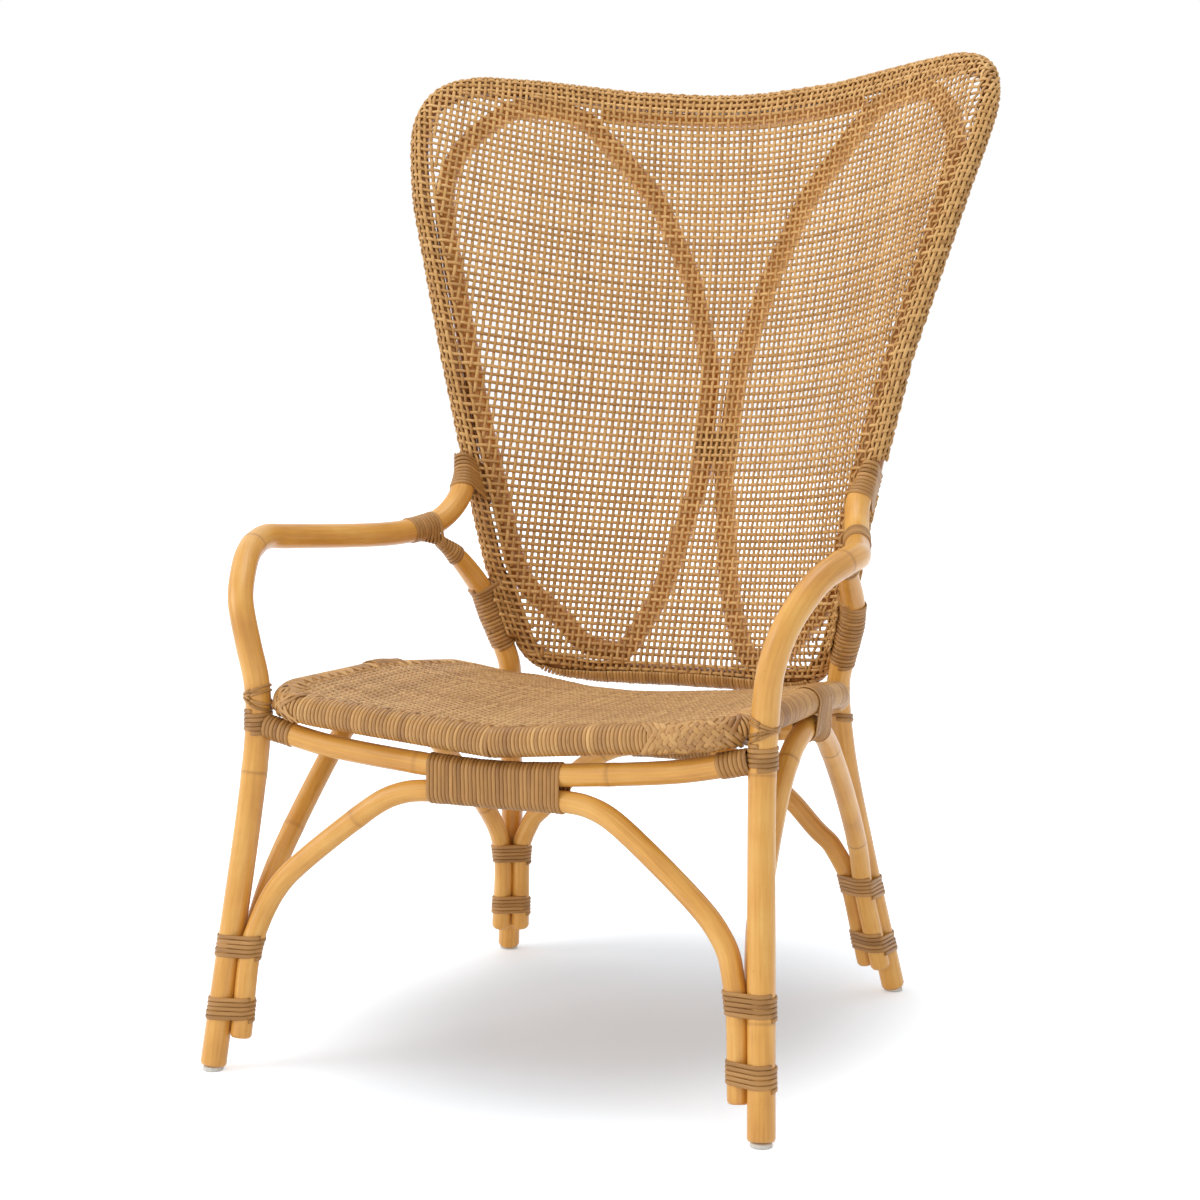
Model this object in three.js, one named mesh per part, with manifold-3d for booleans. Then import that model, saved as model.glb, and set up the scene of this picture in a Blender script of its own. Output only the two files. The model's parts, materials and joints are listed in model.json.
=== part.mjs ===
// High-backed rattan lounge chair: bent poles bound with peel, a tight woven seat on a bent hoop,
// and a hollow winged back of open square weave with two egg-shaped loops behind it.
// Millimetres, +Z up, +X to the sitter's left as seen from the front, the front faces -Y.
import * as THREE from 'three';
import { mergeVertices } from 'three/addons/utils/BufferGeometryUtils.js';
import Module from 'manifold-3d';

const wasm = await Module();
wasm.setup();

// Room between pieces that touch.
const clearance = 0.3;

// Poles and peel.
const frontPoleDiameter = 28;
const rearPoleDiameter = 27;
const archDiameter = 23;
const railDiameter = 24;
const loopDiameter = 25;
const frameDiameter = 21;
const hoopDiameter = 25;
const seatWeave = 3;
const frameWeave = 3.2;
const panelWeave = 4.5;
const peelThickness = 1.5;
const peelPitch = 4.8;
const peelSpacing = 0.6;

// Feet.
const padDiameter = 22;
const padHeight = 5;
const frontFootSplay = 23.5;
const rearFootSplay = 44.5;
const rearFootDepth = 607;

// Front poles, which go on as the arms.
const waistSpanShare = 0.7942;
const waistDepth = 62;
const waistHeight = 369;
const armSpanShare = 0.9447;
const armFrontDepth = 175;
const armRise = 189;
const armJoinAhead = 106;
const armJoinSpanShare = 0.6934;
const armJoinRise = 38;
const armEndRise = 44;

// Rear legs.
const rearSeatSpanShare = 0.587;
const rearSeatAhead = 55.5;
const rearSeatRise = 20;
const branchSpanShare = 0.684;
const branchAhead = 132;
const branchDrop = 36;
const branchTaper = 5;
const branchTipAhead = 155;
const armTaper = 7;
const armTaperLength = 44;

// Back.
const backBottomRise = 3;
const backHeight = 725;
const backHalfSpan = 362;
const backBottomDepth = 576;
const backLeanDepth = 178;
const backHollow = 330;
const loopInset = 31.5;
const panelInset = 15;

// Seat.
const hoopFrontAhead = 14;
const hoopRearAhead = 10.5;
const hoopSideRise = 28;
const hoopFrontDip = 31;
const hoopRearDip = 59;
const hoopCornerRadius = 45;
const hoopRearSpanShare = 0.5525;
const seatSag = 14;
const seatMidBehind = 242;

// Arches and rails.
const archFootShare = 0.0976;
const frontArchDrop = 59.5;
const frontArchAhead = 4.5;
const rearArchDrop = 24;
const rearArchBehind = 3;
const rearRailDrop = 26.5;
const rearRailBehind = 10.5;
const sideArchPeakAhead = 18;
const railEndDrop = 6;

// Bindings.
const lowBandShare = 0.179;
const highBandShare = 0.3578;
const rearLowBandShare = 0.179;
const rearHighBandShare = 0.3686;
const frontCenterLength = 150;
const rearCenterLength = 110;
const frameLegRise = 47;
const frameLegLength = 63;
const armEndBindLength = 30.5;
const armEndBindDrop = 4;
const branchBindLength = 30;
const branchTaperLength = 54;
const loopBindHeight = 34;
const strapWidth = 26;
const strapAhead = 4;
const tieWidth = 7;

// Radii that the pieces share.
const frontPoleRadius = frontPoleDiameter / 2;
const rearPoleRadius = rearPoleDiameter / 2;
const archRadius = archDiameter / 2;
const railRadius = railDiameter / 2;
const loopRadius = loopDiameter / 2;
const frameRadius = frameDiameter / 2;
const hoopRadius = hoopDiameter / 2;
const coverRadius = frameRadius + frameWeave;
const rollRadius = hoopRadius + seatWeave;
const peelWidth = peelPitch - peelSpacing;

// Places that follow from these: heights up and down from the waist's, depths from the
// waist's and from the back's foot, and half spans as shares of the back's.
const armHeight = waistHeight + armRise;
const armEndHeight = armHeight + armJoinRise + armEndRise;
const armEndTop = armEndHeight - armEndBindDrop;
const armEndBottom = armEndTop - armEndBindLength;
const branchHeight = armHeight - branchDrop;
const hoopSideHeight = waistHeight + hoopSideRise;
const hoopFrontHeight = hoopSideHeight - hoopFrontDip;
const hoopRearHeight = hoopSideHeight - hoopRearDip;
const frontArchHeight = waistHeight - frontArchDrop;
const rearRailHeight = hoopRearHeight - rearRailDrop;
const rearArchHeight = rearRailHeight - rearArchDrop;
const rearSeatHeight = waistHeight + rearSeatRise;
const backBottomHeight = waistHeight + backBottomRise;
const frameLegBottom = backBottomHeight + frameLegRise;
const frameLegTop = frameLegBottom + frameLegLength;
const armJoinDepth = backBottomDepth - armJoinAhead;
const branchDepth = backBottomDepth - branchAhead;
const branchTipDepth = backBottomDepth - branchTipAhead;
const rearSeatDepth = backBottomDepth - rearSeatAhead;
const hoopFrontDepth = waistDepth - hoopFrontAhead;
const hoopRearDepth = rearSeatDepth - hoopRearAhead;
const seatMidDepth = hoopFrontDepth + seatMidBehind;
const strapDepth = seatMidDepth - strapAhead;
const sideArchPeakDepth = strapDepth - sideArchPeakAhead;
const frontArchDepth = waistDepth - frontArchAhead;
const rearRailDepth = rearSeatDepth + rearRailBehind;
const rearArchDepth = rearRailDepth + rearArchBehind;
const waistHalfSpan = backHalfSpan * waistSpanShare;
const armHalfSpan = backHalfSpan * armSpanShare;
const armJoinHalfSpan = backHalfSpan * armJoinSpanShare;
const branchHalfSpan = backHalfSpan * branchSpanShare;
const rearSeatHalfSpan = backHalfSpan * rearSeatSpanShare;
const hoopRearHalfSpan = backHalfSpan * hoopRearSpanShare;
const frontFootHalfSpan = waistHalfSpan + frontFootSplay;
const rearFootHalfSpan = rearSeatHalfSpan + rearFootSplay;
const archFootHeight = waistHeight * archFootShare;
const lowBandHeight = waistHeight * lowBandShare;
const highBandHeight = waistHeight * highBandShare;
const rearLowBandHeight = waistHeight * rearLowBandShare;
const rearHighBandHeight = waistHeight * rearHighBandShare;

// Finishes.
const poleFinish = { color: 0xd99a45, roughness: 0.42, metalness: 0 };
const peelFinish = { color: 0x8a6238, roughness: 0.55, metalness: 0 };
const weaveFinish = { color: 0xb08a58, roughness: 0.7, metalness: 0 };
const padFinish = { color: 0xc9c7c0, roughness: 0.6, metalness: 0 };

const UP = new THREE.Vector3(0, 0, 1);
const ACROSS = new THREE.Vector3(1, 0, 0);
const FULL_TURN = Math.PI * 2;
const toRadians = THREE.MathUtils.degToRad;

// Smooth value of a table of evenly spaced entries at a share from 0 to 1.
function along(table, share) {
  const place = THREE.MathUtils.clamp(share, 0, 1) * (table.length - 1);
  const index = Math.min(Math.floor(place), table.length - 2);
  const rest = place - index;
  const before = table[Math.max(index - 1, 0)];
  const after = table[Math.min(index + 2, table.length - 1)];
  const slopeIn = (table[index + 1] - before) / 2;
  const slopeOut = (after - table[index]) / 2;
  const a = table[index];
  const b = table[index + 1];
  const square = rest * rest;
  const cube = square * rest;
  return a * (2 * cube - 3 * square + 1) + slopeIn * (cube - 2 * square + rest)
    + b * (3 * square - 2 * cube) + slopeOut * (cube - square);
}

// A route through hand-picked places, with stations set close only where it bends.
function route(places, bend = 0.2, looped = false) {
  const curve = new THREE.CatmullRomCurve3(places, looped, 'centripetal');
  const fine = curve.getPoints(places.length * 12);
  const line = [fine[0]];
  let turned = 0;
  for (let i = 1; i < fine.length - 1; i += 1) {
    const arriving = fine[i].clone().sub(fine[i - 1]);
    const leaving = fine[i + 1].clone().sub(fine[i]);
    turned += arriving.angleTo(leaving);
    if (turned >= bend) {
      line.push(fine[i]);
      turned = 0;
    }
  }
  if (!looped) line.push(fine[fine.length - 1]);
  return line;
}

function mirrored(line) {
  return line.map((place) => new THREE.Vector3(-place.x, place.y, place.z));
}

// A pole made of its right half and the mirror image, the right end first.
function bothHalves(line) {
  const middle = line[line.length - 1];
  const shared = Math.abs(middle.x) < clearance;
  return [...line, ...mirrored(line.slice(0, shared ? -1 : undefined)).reverse()];
}

function directionAt(line, index, looped) {
  const count = line.length;
  const before = looped ? line[(index + count - 1) % count] : line[Math.max(index - 1, 0)];
  const after = looped ? line[(index + 1) % count] : line[Math.min(index + 1, count - 1)];
  return after.clone().sub(before).normalize();
}

// Where a line crosses the plane square to an axis, nearest to the origin of the axis.
function crossing(line, origin, axis, distance) {
  let best = null;
  for (let i = 0; i < line.length - 1; i += 1) {
    const start = line[i].clone().sub(origin).dot(axis) - distance;
    const end = line[i + 1].clone().sub(origin).dot(axis) - distance;
    if (start * end <= 0 && start !== end) {
      const place = line[i].clone().lerp(line[i + 1], start / (start - end));
      const slant = Math.abs(line[i + 1].clone().sub(line[i]).normalize().dot(axis));
      const away = place.distanceTo(origin);
      const share = i + start / (start - end);
      if (!best || away < best.away) best = { place, slant, away, share };
    }
  }
  return best;
}

function atHeight(line, height) {
  const origin = new THREE.Vector3(0, 0, 0);
  return crossing(line, origin, UP, height).place;
}

// A place beside another, at a bearing in plan (degrees from +X) and a distance.
function beside(place, bearing, distance) {
  const angle = toRadians(bearing);
  const step = new THREE.Vector3(Math.cos(angle), Math.sin(angle), 0);
  return place.clone().addScaledVector(step, distance);
}

function bufferGeometry(vertices, index) {
  const geometry = new THREE.BufferGeometry();
  const flat = vertices.flatMap((vertex) => [vertex.x, vertex.y, vertex.z]);
  geometry.setAttribute('position', new THREE.Float32BufferAttribute(flat, 3));
  geometry.setIndex(index);
  return facingOut(geometry);
}

// Turns every triangle round if the solid's volume comes out negative.
function facingOut(geometry) {
  const position = geometry.attributes.position;
  const index = Array.from(geometry.index.array);
  const corners = [new THREE.Vector3(), new THREE.Vector3(), new THREE.Vector3()];
  let volume = 0;
  for (let i = 0; i < index.length; i += 3) {
    corners.forEach((corner, j) => corner.fromBufferAttribute(position, index[i + j]));
    volume += corners[0].dot(corners[1].clone().cross(corners[2]));
  }
  if (volume < 0) {
    for (let i = 0; i < index.length; i += 3) {
      [index[i + 1], index[i + 2]] = [index[i + 2], index[i + 1]];
    }
    geometry.setIndex(index);
  }
  geometry.computeVertexNormals();
  return geometry;
}

// Joins rings of equal count into one solid, closed on itself or capped at both ends.
function solidFromRings(rings, looped = false) {
  const count = rings[0].length;
  const index = [];
  const spans = looped ? rings.length : rings.length - 1;
  for (let i = 0; i < spans; i += 1) {
    const near = i * count;
    const far = ((i + 1) % rings.length) * count;
    for (let j = 0; j < count; j += 1) {
      const next = (j + 1) % count;
      index.push(near + j, far + j, far + next, near + j, far + next, near + next);
    }
  }
  if (!looped) {
    const last = (rings.length - 1) * count;
    for (let j = 1; j < count - 1; j += 1) {
      index.push(0, j, j + 1, last, last + j + 1, last + j);
    }
  }
  return bufferGeometry(rings.flat(), index);
}

// A pole of even or changing radius along a line. Feet are cut level.
function poleGeometry(line, radius, { sides = 10, looped = false, levelStart = false } = {}) {
  const radiusAt = (i) => (Array.isArray(radius) ? radius[i] : radius);
  let side = null;
  const rings = line.map((place, i) => {
    let tangent = directionAt(line, i, looped);
    if (levelStart && i === 0) tangent = UP.clone();
    const guess = side || (Math.abs(tangent.x) < 0.9 ? ACROSS : UP);
    side = guess.clone().addScaledVector(tangent, -guess.dot(tangent)).normalize();
    const other = tangent.clone().cross(side);
    return Array.from({ length: sides }, (_, j) => {
      const angle = (j + 0.5) / sides * FULL_TURN;
      return place.clone().addScaledVector(side, Math.cos(angle) * radiusAt(i))
        .addScaledVector(other, Math.sin(angle) * radiusAt(i));
    });
  });
  return solidFromRings(rings, looped);
}

// Radii along a pole whose last stretch tapers to a tip.
function taperedRadii(line, full, tip, length) {
  const last = line[line.length - 1];
  return line.map((place) => {
    const share = THREE.MathUtils.clamp(place.distanceTo(last) / length, 0, 1);
    return tip + (full - tip) * share;
  });
}

// The right pole at the front: foot, leg and armrest in one bend.
// Leg shares: x from waist to foot span, y of waist depth, z of waist height.
const legShares = [
  [1, 0, null], [0.7, 0.242, 0.257], [0.36, 0.516, 0.485], [0.19, 0.677, 0.629],
  [0.03, 0.86, 0.82], [0, 1, 1],
];
// Bend shares: x from waist to arm span, y from waist to arm front depth, z of the arm's rise.
const bendShares = [
  [0.03, 0.01, 0.2], [0.17, -0.035, 0.46], [0.41, 0.035, 0.683], [0.725, 0.38, 0.892],
  [0.93, 0.7, 0.97], [1, 1, 1],
];
// Arm shares: x from join to arm span, y from arm front to join depth, z of the join's rise.
const armShares = [
  [0.9, 0.13, -0.06], [0.615, 0.41, -0.16], [0.34, 0.664, -0.18], [0.13, 0.86, 0.08],
  [0.03, 0.95, 0.55], [0, 1, 1],
];

// Bearing in plan from the back frame to the arm's end.
const armBearing = -85;

function frontPoleLine(frameLine) {
  const places = legShares.map(([x, y, z]) => new THREE.Vector3(
    waistHalfSpan + (frontFootHalfSpan - waistHalfSpan) * x,
    waistDepth * y,
    z === null ? padHeight + clearance : waistHeight * z,
  ));
  bendShares.forEach(([x, y, z]) => places.push(new THREE.Vector3(
    waistHalfSpan + (armHalfSpan - waistHalfSpan) * x,
    waistDepth + (armFrontDepth - waistDepth) * y,
    waistHeight + armRise * z,
  )));
  armShares.forEach(([x, y, z]) => places.push(new THREE.Vector3(
    armJoinHalfSpan + (armHalfSpan - armJoinHalfSpan) * x,
    armFrontDepth + (armJoinDepth - armFrontDepth) * y,
    armHeight + armJoinRise * z,
  )));
  const reach = coverRadius + clearance * 3;
  const low = atHeight(frameLine, (armEndHeight + armHeight + armJoinRise) / 2);
  const high = atHeight(frameLine, armEndHeight);
  places.push(beside(low, armBearing, reach + (frontPoleRadius + armTaper) / 2));
  places.push(beside(high, armBearing, reach + armTaper));
  return route(places, 0.2);
}

// The right rear leg: foot, leg, the stretch bound to the back frame, and a tapered branch
// under the armrest. Shares: x from seat to foot span, y from seat to foot depth, z of seat height.
const rearLegShares = [
  [1, 1, null], [0.86, 0.85, 0.152], [0.5, 0.6, 0.39], [0.19, 0.225, 0.66], [0, 0.012, 0.975],
];
const frameTieShares = [0.06, 0.5, 0.85];
const frameTieBearings = [-33, -38, -47];
const frameTieSlant = 1.07;

function rearPoleLine(frameLine, frontLine) {
  const places = rearLegShares.map(([x, y, z]) => new THREE.Vector3(
    rearSeatHalfSpan + (rearFootHalfSpan - rearSeatHalfSpan) * x,
    rearSeatDepth + (rearFootDepth - rearSeatDepth) * y,
    z === null ? padHeight + clearance : rearSeatHeight * z,
  ));
  const reach = (rearPoleRadius + coverRadius + clearance) * frameTieSlant;
  frameTieShares.forEach((share, i) => {
    const height = frameLegBottom + (frameLegTop - frameLegBottom) * share;
    places.push(beside(atHeight(frameLine, height), frameTieBearings[i], reach));
  });
  places.push(new THREE.Vector3(branchHalfSpan, branchDepth, branchHeight));
  const backward = new THREE.Vector3(0, 1, 0);
  const under = new THREE.Vector3(-0.35, 0, -0.937);
  const origin = new THREE.Vector3(armHalfSpan, armJoinDepth, armHeight);
  const arm = crossing(frontLine, origin, backward, branchTipDepth - armJoinDepth).place;
  const tipReach = frontPoleRadius + branchTaper + clearance * 3;
  places.push(arm.addScaledVector(under, tipReach));
  return route(places, 0.2);
}

// The hollow surface on which the back frame and the loops lie.
const spineShares = [0, 0.174, 0.379, 0.545, 0.706, 0.827, 0.901, 0.956, 1];
const hollowShares = [0.497, 0.742, 0.948, 1, 0.967, 0.855, 0.718, 0.559, 0.435];

function backPlace(x, z) {
  const share = (z - backBottomHeight) / backHeight;
  const spine = backBottomDepth + backLeanDepth * along(spineShares, share);
  const hollow = backHollow * along(hollowShares, share);
  const across = x / backHalfSpan;
  return new THREE.Vector3(x, spine - hollow * across * across, z);
}

// The surface's direction towards the sitter at a place on it.
function backFacing(place) {
  const step = peelThickness;
  const right = backPlace(place.x + step, place.z).sub(backPlace(place.x - step, place.z));
  const upward = backPlace(place.x, place.z + step).sub(backPlace(place.x, place.z - step));
  return right.cross(upward).normalize();
}

// Back outline, the right half from the bottom centre to the top centre, as shares of
// the half span and the height.
const outlineShares = [
  [0, 0], [0.223, 0.001], [0.377, 0.005], [0.466, 0.017], [0.519, 0.038], [0.551, 0.066],
  [0.574, 0.098], [0.593, 0.13], [0.611, 0.156], [0.64, 0.203], [0.666, 0.272],
  [0.694, 0.333], [0.732, 0.417], [0.79, 0.531], [0.865, 0.668], [0.93, 0.773],
  [0.978, 0.856], [1, 0.926], [0.992, 0.957], [0.964, 0.98], [0.916, 0.994], [0.838, 1],
  [0.726, 0.996], [0.615, 0.99], [0.475, 0.98], [0.335, 0.972], [0.168, 0.9657], [0, 0.9634],
];

function outlinePlaces() {
  return outlineShares.map(([x, z]) => backPlace(
    x * backHalfSpan,
    backBottomHeight + z * backHeight,
  ));
}

function halfFrameLine() {
  return route(outlinePlaces(), 0.22);
}

// The whole outline as one loop of stations, starting at the bottom centre.
function frameLoopLine() {
  const half = halfFrameLine();
  const other = mirrored(half.slice(1, -1)).reverse();
  return [...half, ...other];
}

// Local directions at a station of the loop: towards the sitter, and inboard in the surface.
function frameAxes(line, index, looped = true) {
  const tangent = directionAt(line, index, looped);
  const facing = backFacing(line[index]);
  facing.addScaledVector(tangent, -facing.dot(tangent)).normalize();
  const inboard = facing.clone().cross(tangent).normalize();
  const centre = backPlace(0, backBottomHeight + backHeight * 0.6);
  if (inboard.dot(centre.sub(line[index])) < 0) inboard.negate();
  return { tangent, facing, inboard };
}

// Woven skin round the frame pole, in flats, with its slit towards the panel.
function frameWeaveGeometry(line) {
  const flats = 7;
  const open = toRadians(40);
  const step = (FULL_TURN - open) / flats;
  const inner = (frameRadius + clearance * 1.5) / Math.cos(step / 2);
  const rings = line.map((place, i) => {
    const { facing, inboard } = frameAxes(line, i);
    const arc = (radius, order) => Array.from({ length: flats + 1 }, (_, j) => {
      const angle = open / 2 + (order ? flats - j : j) * step;
      return place.clone().addScaledVector(inboard, Math.cos(angle) * radius)
        .addScaledVector(facing, -Math.sin(angle) * radius);
    });
    return [...arc(coverRadius, false), ...arc(inner, true)];
  });
  return solidFromRings(rings, true);
}

// Egg-shaped loop behind the right half of the panel, as shares: x from where the loops
// touch, z of the back's height, from the outer side's lower end round over the top.
const loopShares = [
  [0.474, 0.132], [0.434, 0.105], [0.396, 0.084], [0.352, 0.064],
  [0.302, 0.05], [0.255, 0.044], [0.209, 0.043], [0.172, 0.048], [0.146, 0.065],
  [0.122, 0.091], [0.086, 0.137], [0.058, 0.191], [0.034, 0.245], [0.013, 0.301],
  [0.003, 0.35], [0, 0.39], [0.002, 0.44], [0.011, 0.49], [0.032, 0.545], [0.083, 0.627],
  [0.145, 0.711], [0.194, 0.761], [0.25, 0.808], [0.315, 0.849], [0.382, 0.886],
  [0.452, 0.92], [0.518, 0.94], [0.587, 0.951], [0.645, 0.955], [0.7, 0.953],
  [0.752, 0.945], [0.8, 0.927], [0.834, 0.902], [0.856, 0.872], [0.86, 0.838],
];
// Outer side beside the frame: shares of the height and of the loop's inset.
const loopSideShares = [
  [0.78, 1], [0.72, 1], [0.6, 1.06], [0.5, 1.06], [0.417, 1.06], [0.345, 1.06],
  [0.27, 1], [0.205, 0.98], [0.165, 0.97],
];

function loopLine(frameLine) {
  const touch = loopRadius + clearance / 2;
  const places = loopShares.map(([x, z]) => backPlace(
    touch + x * backHalfSpan,
    backBottomHeight + z * backHeight,
  ));
  loopSideShares.forEach(([share, inset]) => {
    const height = backBottomHeight + share * backHeight;
    const origin = new THREE.Vector3(backHalfSpan, 0, height);
    const rim = crossing(frameLine, origin, UP, 0).place;
    const nearest = frameLine.reduce((best, place, i) => (
      place.distanceTo(rim) < frameLine[best].distanceTo(rim) ? i : best), 0);
    const { inboard } = frameAxes(frameLine, nearest, false);
    const place = rim.clone().addScaledVector(inboard, loopInset * inset);
    places.push(backPlace(place.x, place.z));
  });
  return route(places, 0.26, true);
}

// Open weave panel: a net that follows the hollow surface in front of the loops.
const gapsAcross = 12;
const gapsUp = 13;
const gapShare = 0.52;

function panelEdge() {
  const line = frameLoopLine();
  return line.map((place, i) => {
    const { inboard } = frameAxes(line, i);
    return place.clone().addScaledVector(inboard, panelInset);
  });
}

// The panel's edge cut into bottom, right, top and left runs between its four corners.
function panelRuns() {
  const edge = panelEdge();
  const count = edge.length;
  const cornerOf = (x, z) => {
    const goal = backPlace(x * backHalfSpan, backBottomHeight + z * backHeight);
    return edge.reduce((best, place, i) => (
      place.distanceTo(goal) < edge[best].distanceTo(goal) ? i : best), 0);
  };
  const low = cornerOf(0.5, 0.03);
  const high = cornerOf(0.95, 0.985);
  const run = (from, to) => {
    const places = [];
    for (let i = from; i <= to; i += 1) places.push(edge[(i + count) % count]);
    return new THREE.CatmullRomCurve3(places, false, 'centripetal');
  };
  return {
    bottom: run(-low, low),
    right: run(low, high),
    top: run(high, count - high),
  };
}

function panelGeometry() {
  const { bottom, right, top } = panelRuns();
  const forward = loopRadius + peelThickness + clearance * 4 + panelWeave / 2;
  const bottomLeft = bottom.getPoint(0);
  const bottomRight = bottom.getPoint(1);
  const topRight = top.getPoint(0);
  const topLeft = top.getPoint(1);
  const place = (u, v) => {
    const low = bottom.getPointAt(u);
    const high = top.getPointAt(1 - u);
    const rightSide = right.getPointAt(v);
    const leftSide = rightSide.clone().setX(-rightSide.x);
    const spot = low.multiplyScalar(1 - v).addScaledVector(high, v)
      .addScaledVector(leftSide, 1 - u).addScaledVector(rightSide, u)
      .addScaledVector(bottomLeft, -(1 - u) * (1 - v)).addScaledVector(bottomRight, -u * (1 - v))
      .addScaledVector(topLeft, -(1 - u) * v).addScaledVector(topRight, -u * v);
    return backPlace(spot.x, spot.z);
  };
  const stops = (gaps) => {
    const pitch = 1 / (gaps + 1 - gapShare);
    const list = [0];
    for (let i = 0; i < gaps; i += 1) {
      list.push(pitch * (i + 1 - gapShare), pitch * (i + 1));
    }
    list.push(1);
    return list;
  };
  const columns = stops(gapsAcross);
  const rows = stops(gapsUp);
  const vertices = [];
  [panelWeave / 2, -panelWeave / 2].forEach((offset) => rows.forEach((v) => {
    columns.forEach((u) => {
      const spot = place(u, v);
      vertices.push(spot.addScaledVector(backFacing(spot), forward + offset));
    });
  }));
  const width = columns.length;
  const layer = width * rows.length;
  const front = (i, j) => j * width + i;
  const rear = (i, j) => layer + j * width + i;
  const filled = (i, j) => i >= 0 && j >= 0 && i < width - 1 && j < rows.length - 1
    && !(i % 2 === 1 && j % 2 === 1);
  const index = [];
  const quad = (a, b, c, d) => index.push(a, b, c, a, c, d);
  for (let j = 0; j < rows.length - 1; j += 1) {
    for (let i = 0; i < width - 1; i += 1) {
      if (!filled(i, j)) continue;
      quad(front(i, j), front(i + 1, j), front(i + 1, j + 1), front(i, j + 1));
      quad(rear(i, j), rear(i, j + 1), rear(i + 1, j + 1), rear(i + 1, j));
      if (!filled(i, j - 1)) quad(front(i, j), rear(i, j), rear(i + 1, j), front(i + 1, j));
      if (!filled(i, j + 1)) {
        quad(front(i, j + 1), front(i + 1, j + 1), rear(i + 1, j + 1), rear(i, j + 1));
      }
      if (!filled(i - 1, j)) quad(front(i, j), front(i, j + 1), rear(i, j + 1), rear(i, j));
      if (!filled(i + 1, j)) {
        quad(front(i + 1, j), rear(i + 1, j), rear(i + 1, j + 1), front(i + 1, j + 1));
      }
    }
  }
  return bufferGeometry(vertices, index);
}

// Front arch: each end lies against its leg, the top under the front rail.
// Free shares: x of waist half span, y of arch depth, z of arch height.
const frontArchShares = [
  [0.94, 0.5, 0.5], [0.911, 0.62, 0.575], [0.845, 0.68, 0.666], [0.69, 0.8, 0.792],
  [0.56, 0.84, 0.889], [0.44, 0.9, 0.965], [0.34, 0.96, 0.995], [0.2, 1, 1], [0, 1, 1],
];
const frontArchBearings = [166, 168, 172, 177];

function bandedReach(first, second) {
  return first + second + clearance * 3;
}

function frontArchLine(frontLine) {
  const reach = bandedReach(frontPoleRadius, archRadius);
  const heights = [archFootHeight, lowBandHeight, (lowBandHeight + highBandHeight) / 2,
    highBandHeight];
  const places = heights.map((height, i) => (
    beside(atHeight(frontLine, height), frontArchBearings[i], reach)));
  frontArchShares.forEach(([x, y, z]) => places.push(new THREE.Vector3(
    waistHalfSpan * x,
    frontArchDepth * y,
    frontArchHeight * z,
  )));
  return bothHalves(route(places, 0.2));
}

// The bearing between two braces that touch each other and the same leg.
function nestAngle(legRadius) {
  const toLeg = bandedReach(legRadius, archRadius);
  const between = bandedReach(archRadius, archRadius);
  const cosine = 1 - between * between / (2 * toLeg * toLeg);
  return THREE.MathUtils.radToDeg(Math.acos(cosine));
}

// Side arch: behind the front leg, up under the seat's side, and down before the rear leg.
function sideArchLine(frontLine, rearLine, hoopLine) {
  const frontReach = bandedReach(frontPoleRadius, archRadius);
  const rearReach = bandedReach(rearPoleRadius, archRadius);
  const nest = nestAngle(frontPoleRadius);
  const places = [archFootHeight, lowBandHeight, highBandHeight].map((height, i) => (
    beside(atHeight(frontLine, height), frontArchBearings[Math.min(i + (i > 1), 3)] - nest,
      frontReach)));
  const origin = new THREE.Vector3(armHalfSpan, strapDepth, hoopSideHeight);
  const backward = new THREE.Vector3(0, 1, 0);
  const underHoop = (depth) => {
    const place = crossing(hoopLine, origin, backward, depth - strapDepth).place;
    return place.addScaledVector(UP, -(rollRadius + archRadius + clearance * 2));
  };
  const peak = underHoop(sideArchPeakDepth);
  const strap = underHoop(strapDepth);
  const start = places[2];
  [[0.33, 0.13, 0.29], [0.62, 0.33, 0.53], [0.88, 0.6, 0.8], [0.97, 0.8, 0.94]].forEach(
    ([x, y, z]) => places.push(new THREE.Vector3(
      start.x + (peak.x - start.x) * x,
      start.y + (peak.y - start.y) * y,
      start.z + (peak.z - start.z) * z,
    )),
  );
  places.push(peak, strap);
  const heel = [rearHighBandHeight, rearLowBandHeight, archFootHeight].map((height) => (
    beside(atHeight(rearLine, height), rearBraceBearing, rearReach)));
  [[0.1, 0.17, 0.07], [0.42, 0.48, 0.32], [0.8, 0.8, 0.66], [0.95, 0.93, 0.83]].forEach(
    ([x, y, z]) => places.push(new THREE.Vector3(
      strap.x + (heel[0].x - strap.x) * x,
      strap.y + (heel[0].y - strap.y) * y,
      strap.z + (heel[0].z - strap.z) * z,
    )),
  );
  places.push(...heel);
  return route(places, 0.2);
}

// Rear arch: inboard of the rear legs, its top under the rear rail.
const rearBraceBearing = -92;
const rearArchShares = [
  [0.96, 0.58], [0.915, 0.64], [0.83, 0.7], [0.7, 0.81], [0.54, 0.91], [0.38, 0.975],
  [0.22, 1], [0, 1],
];

function rearArchLine(rearLine) {
  const reach = bandedReach(rearPoleRadius, archRadius);
  const bearing = rearBraceBearing - nestAngle(rearPoleRadius);
  const clearOfBand = rearHighBandHeight + peelPitch * 3;
  const heights = [archFootHeight, rearLowBandHeight, clearOfBand];
  const places = heights.map((height) => beside(atHeight(rearLine, height), bearing, reach));
  const start = places[2];
  rearArchShares.forEach(([x, z]) => {
    const height = rearArchHeight * z;
    const share = (height - start.z) / (rearArchHeight - start.z);
    places.push(new THREE.Vector3(
      start.x * x,
      start.y + (rearArchDepth - start.y) * share,
      height,
    ));
  });
  return bothHalves(route(places, 0.2));
}

// Rails: each end stops short of its leg by the thickness of the binding there.
const frontRailShares = [[0.99, 0.9], [0.85, 0.68], [0.58, 0.33], [0.29, 0.075], [0, 0]];

function railSetback(legRadius) {
  return (legRadius + clearance + peelThickness) / Math.cos(Math.PI / 8) + clearance;
}

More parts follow.
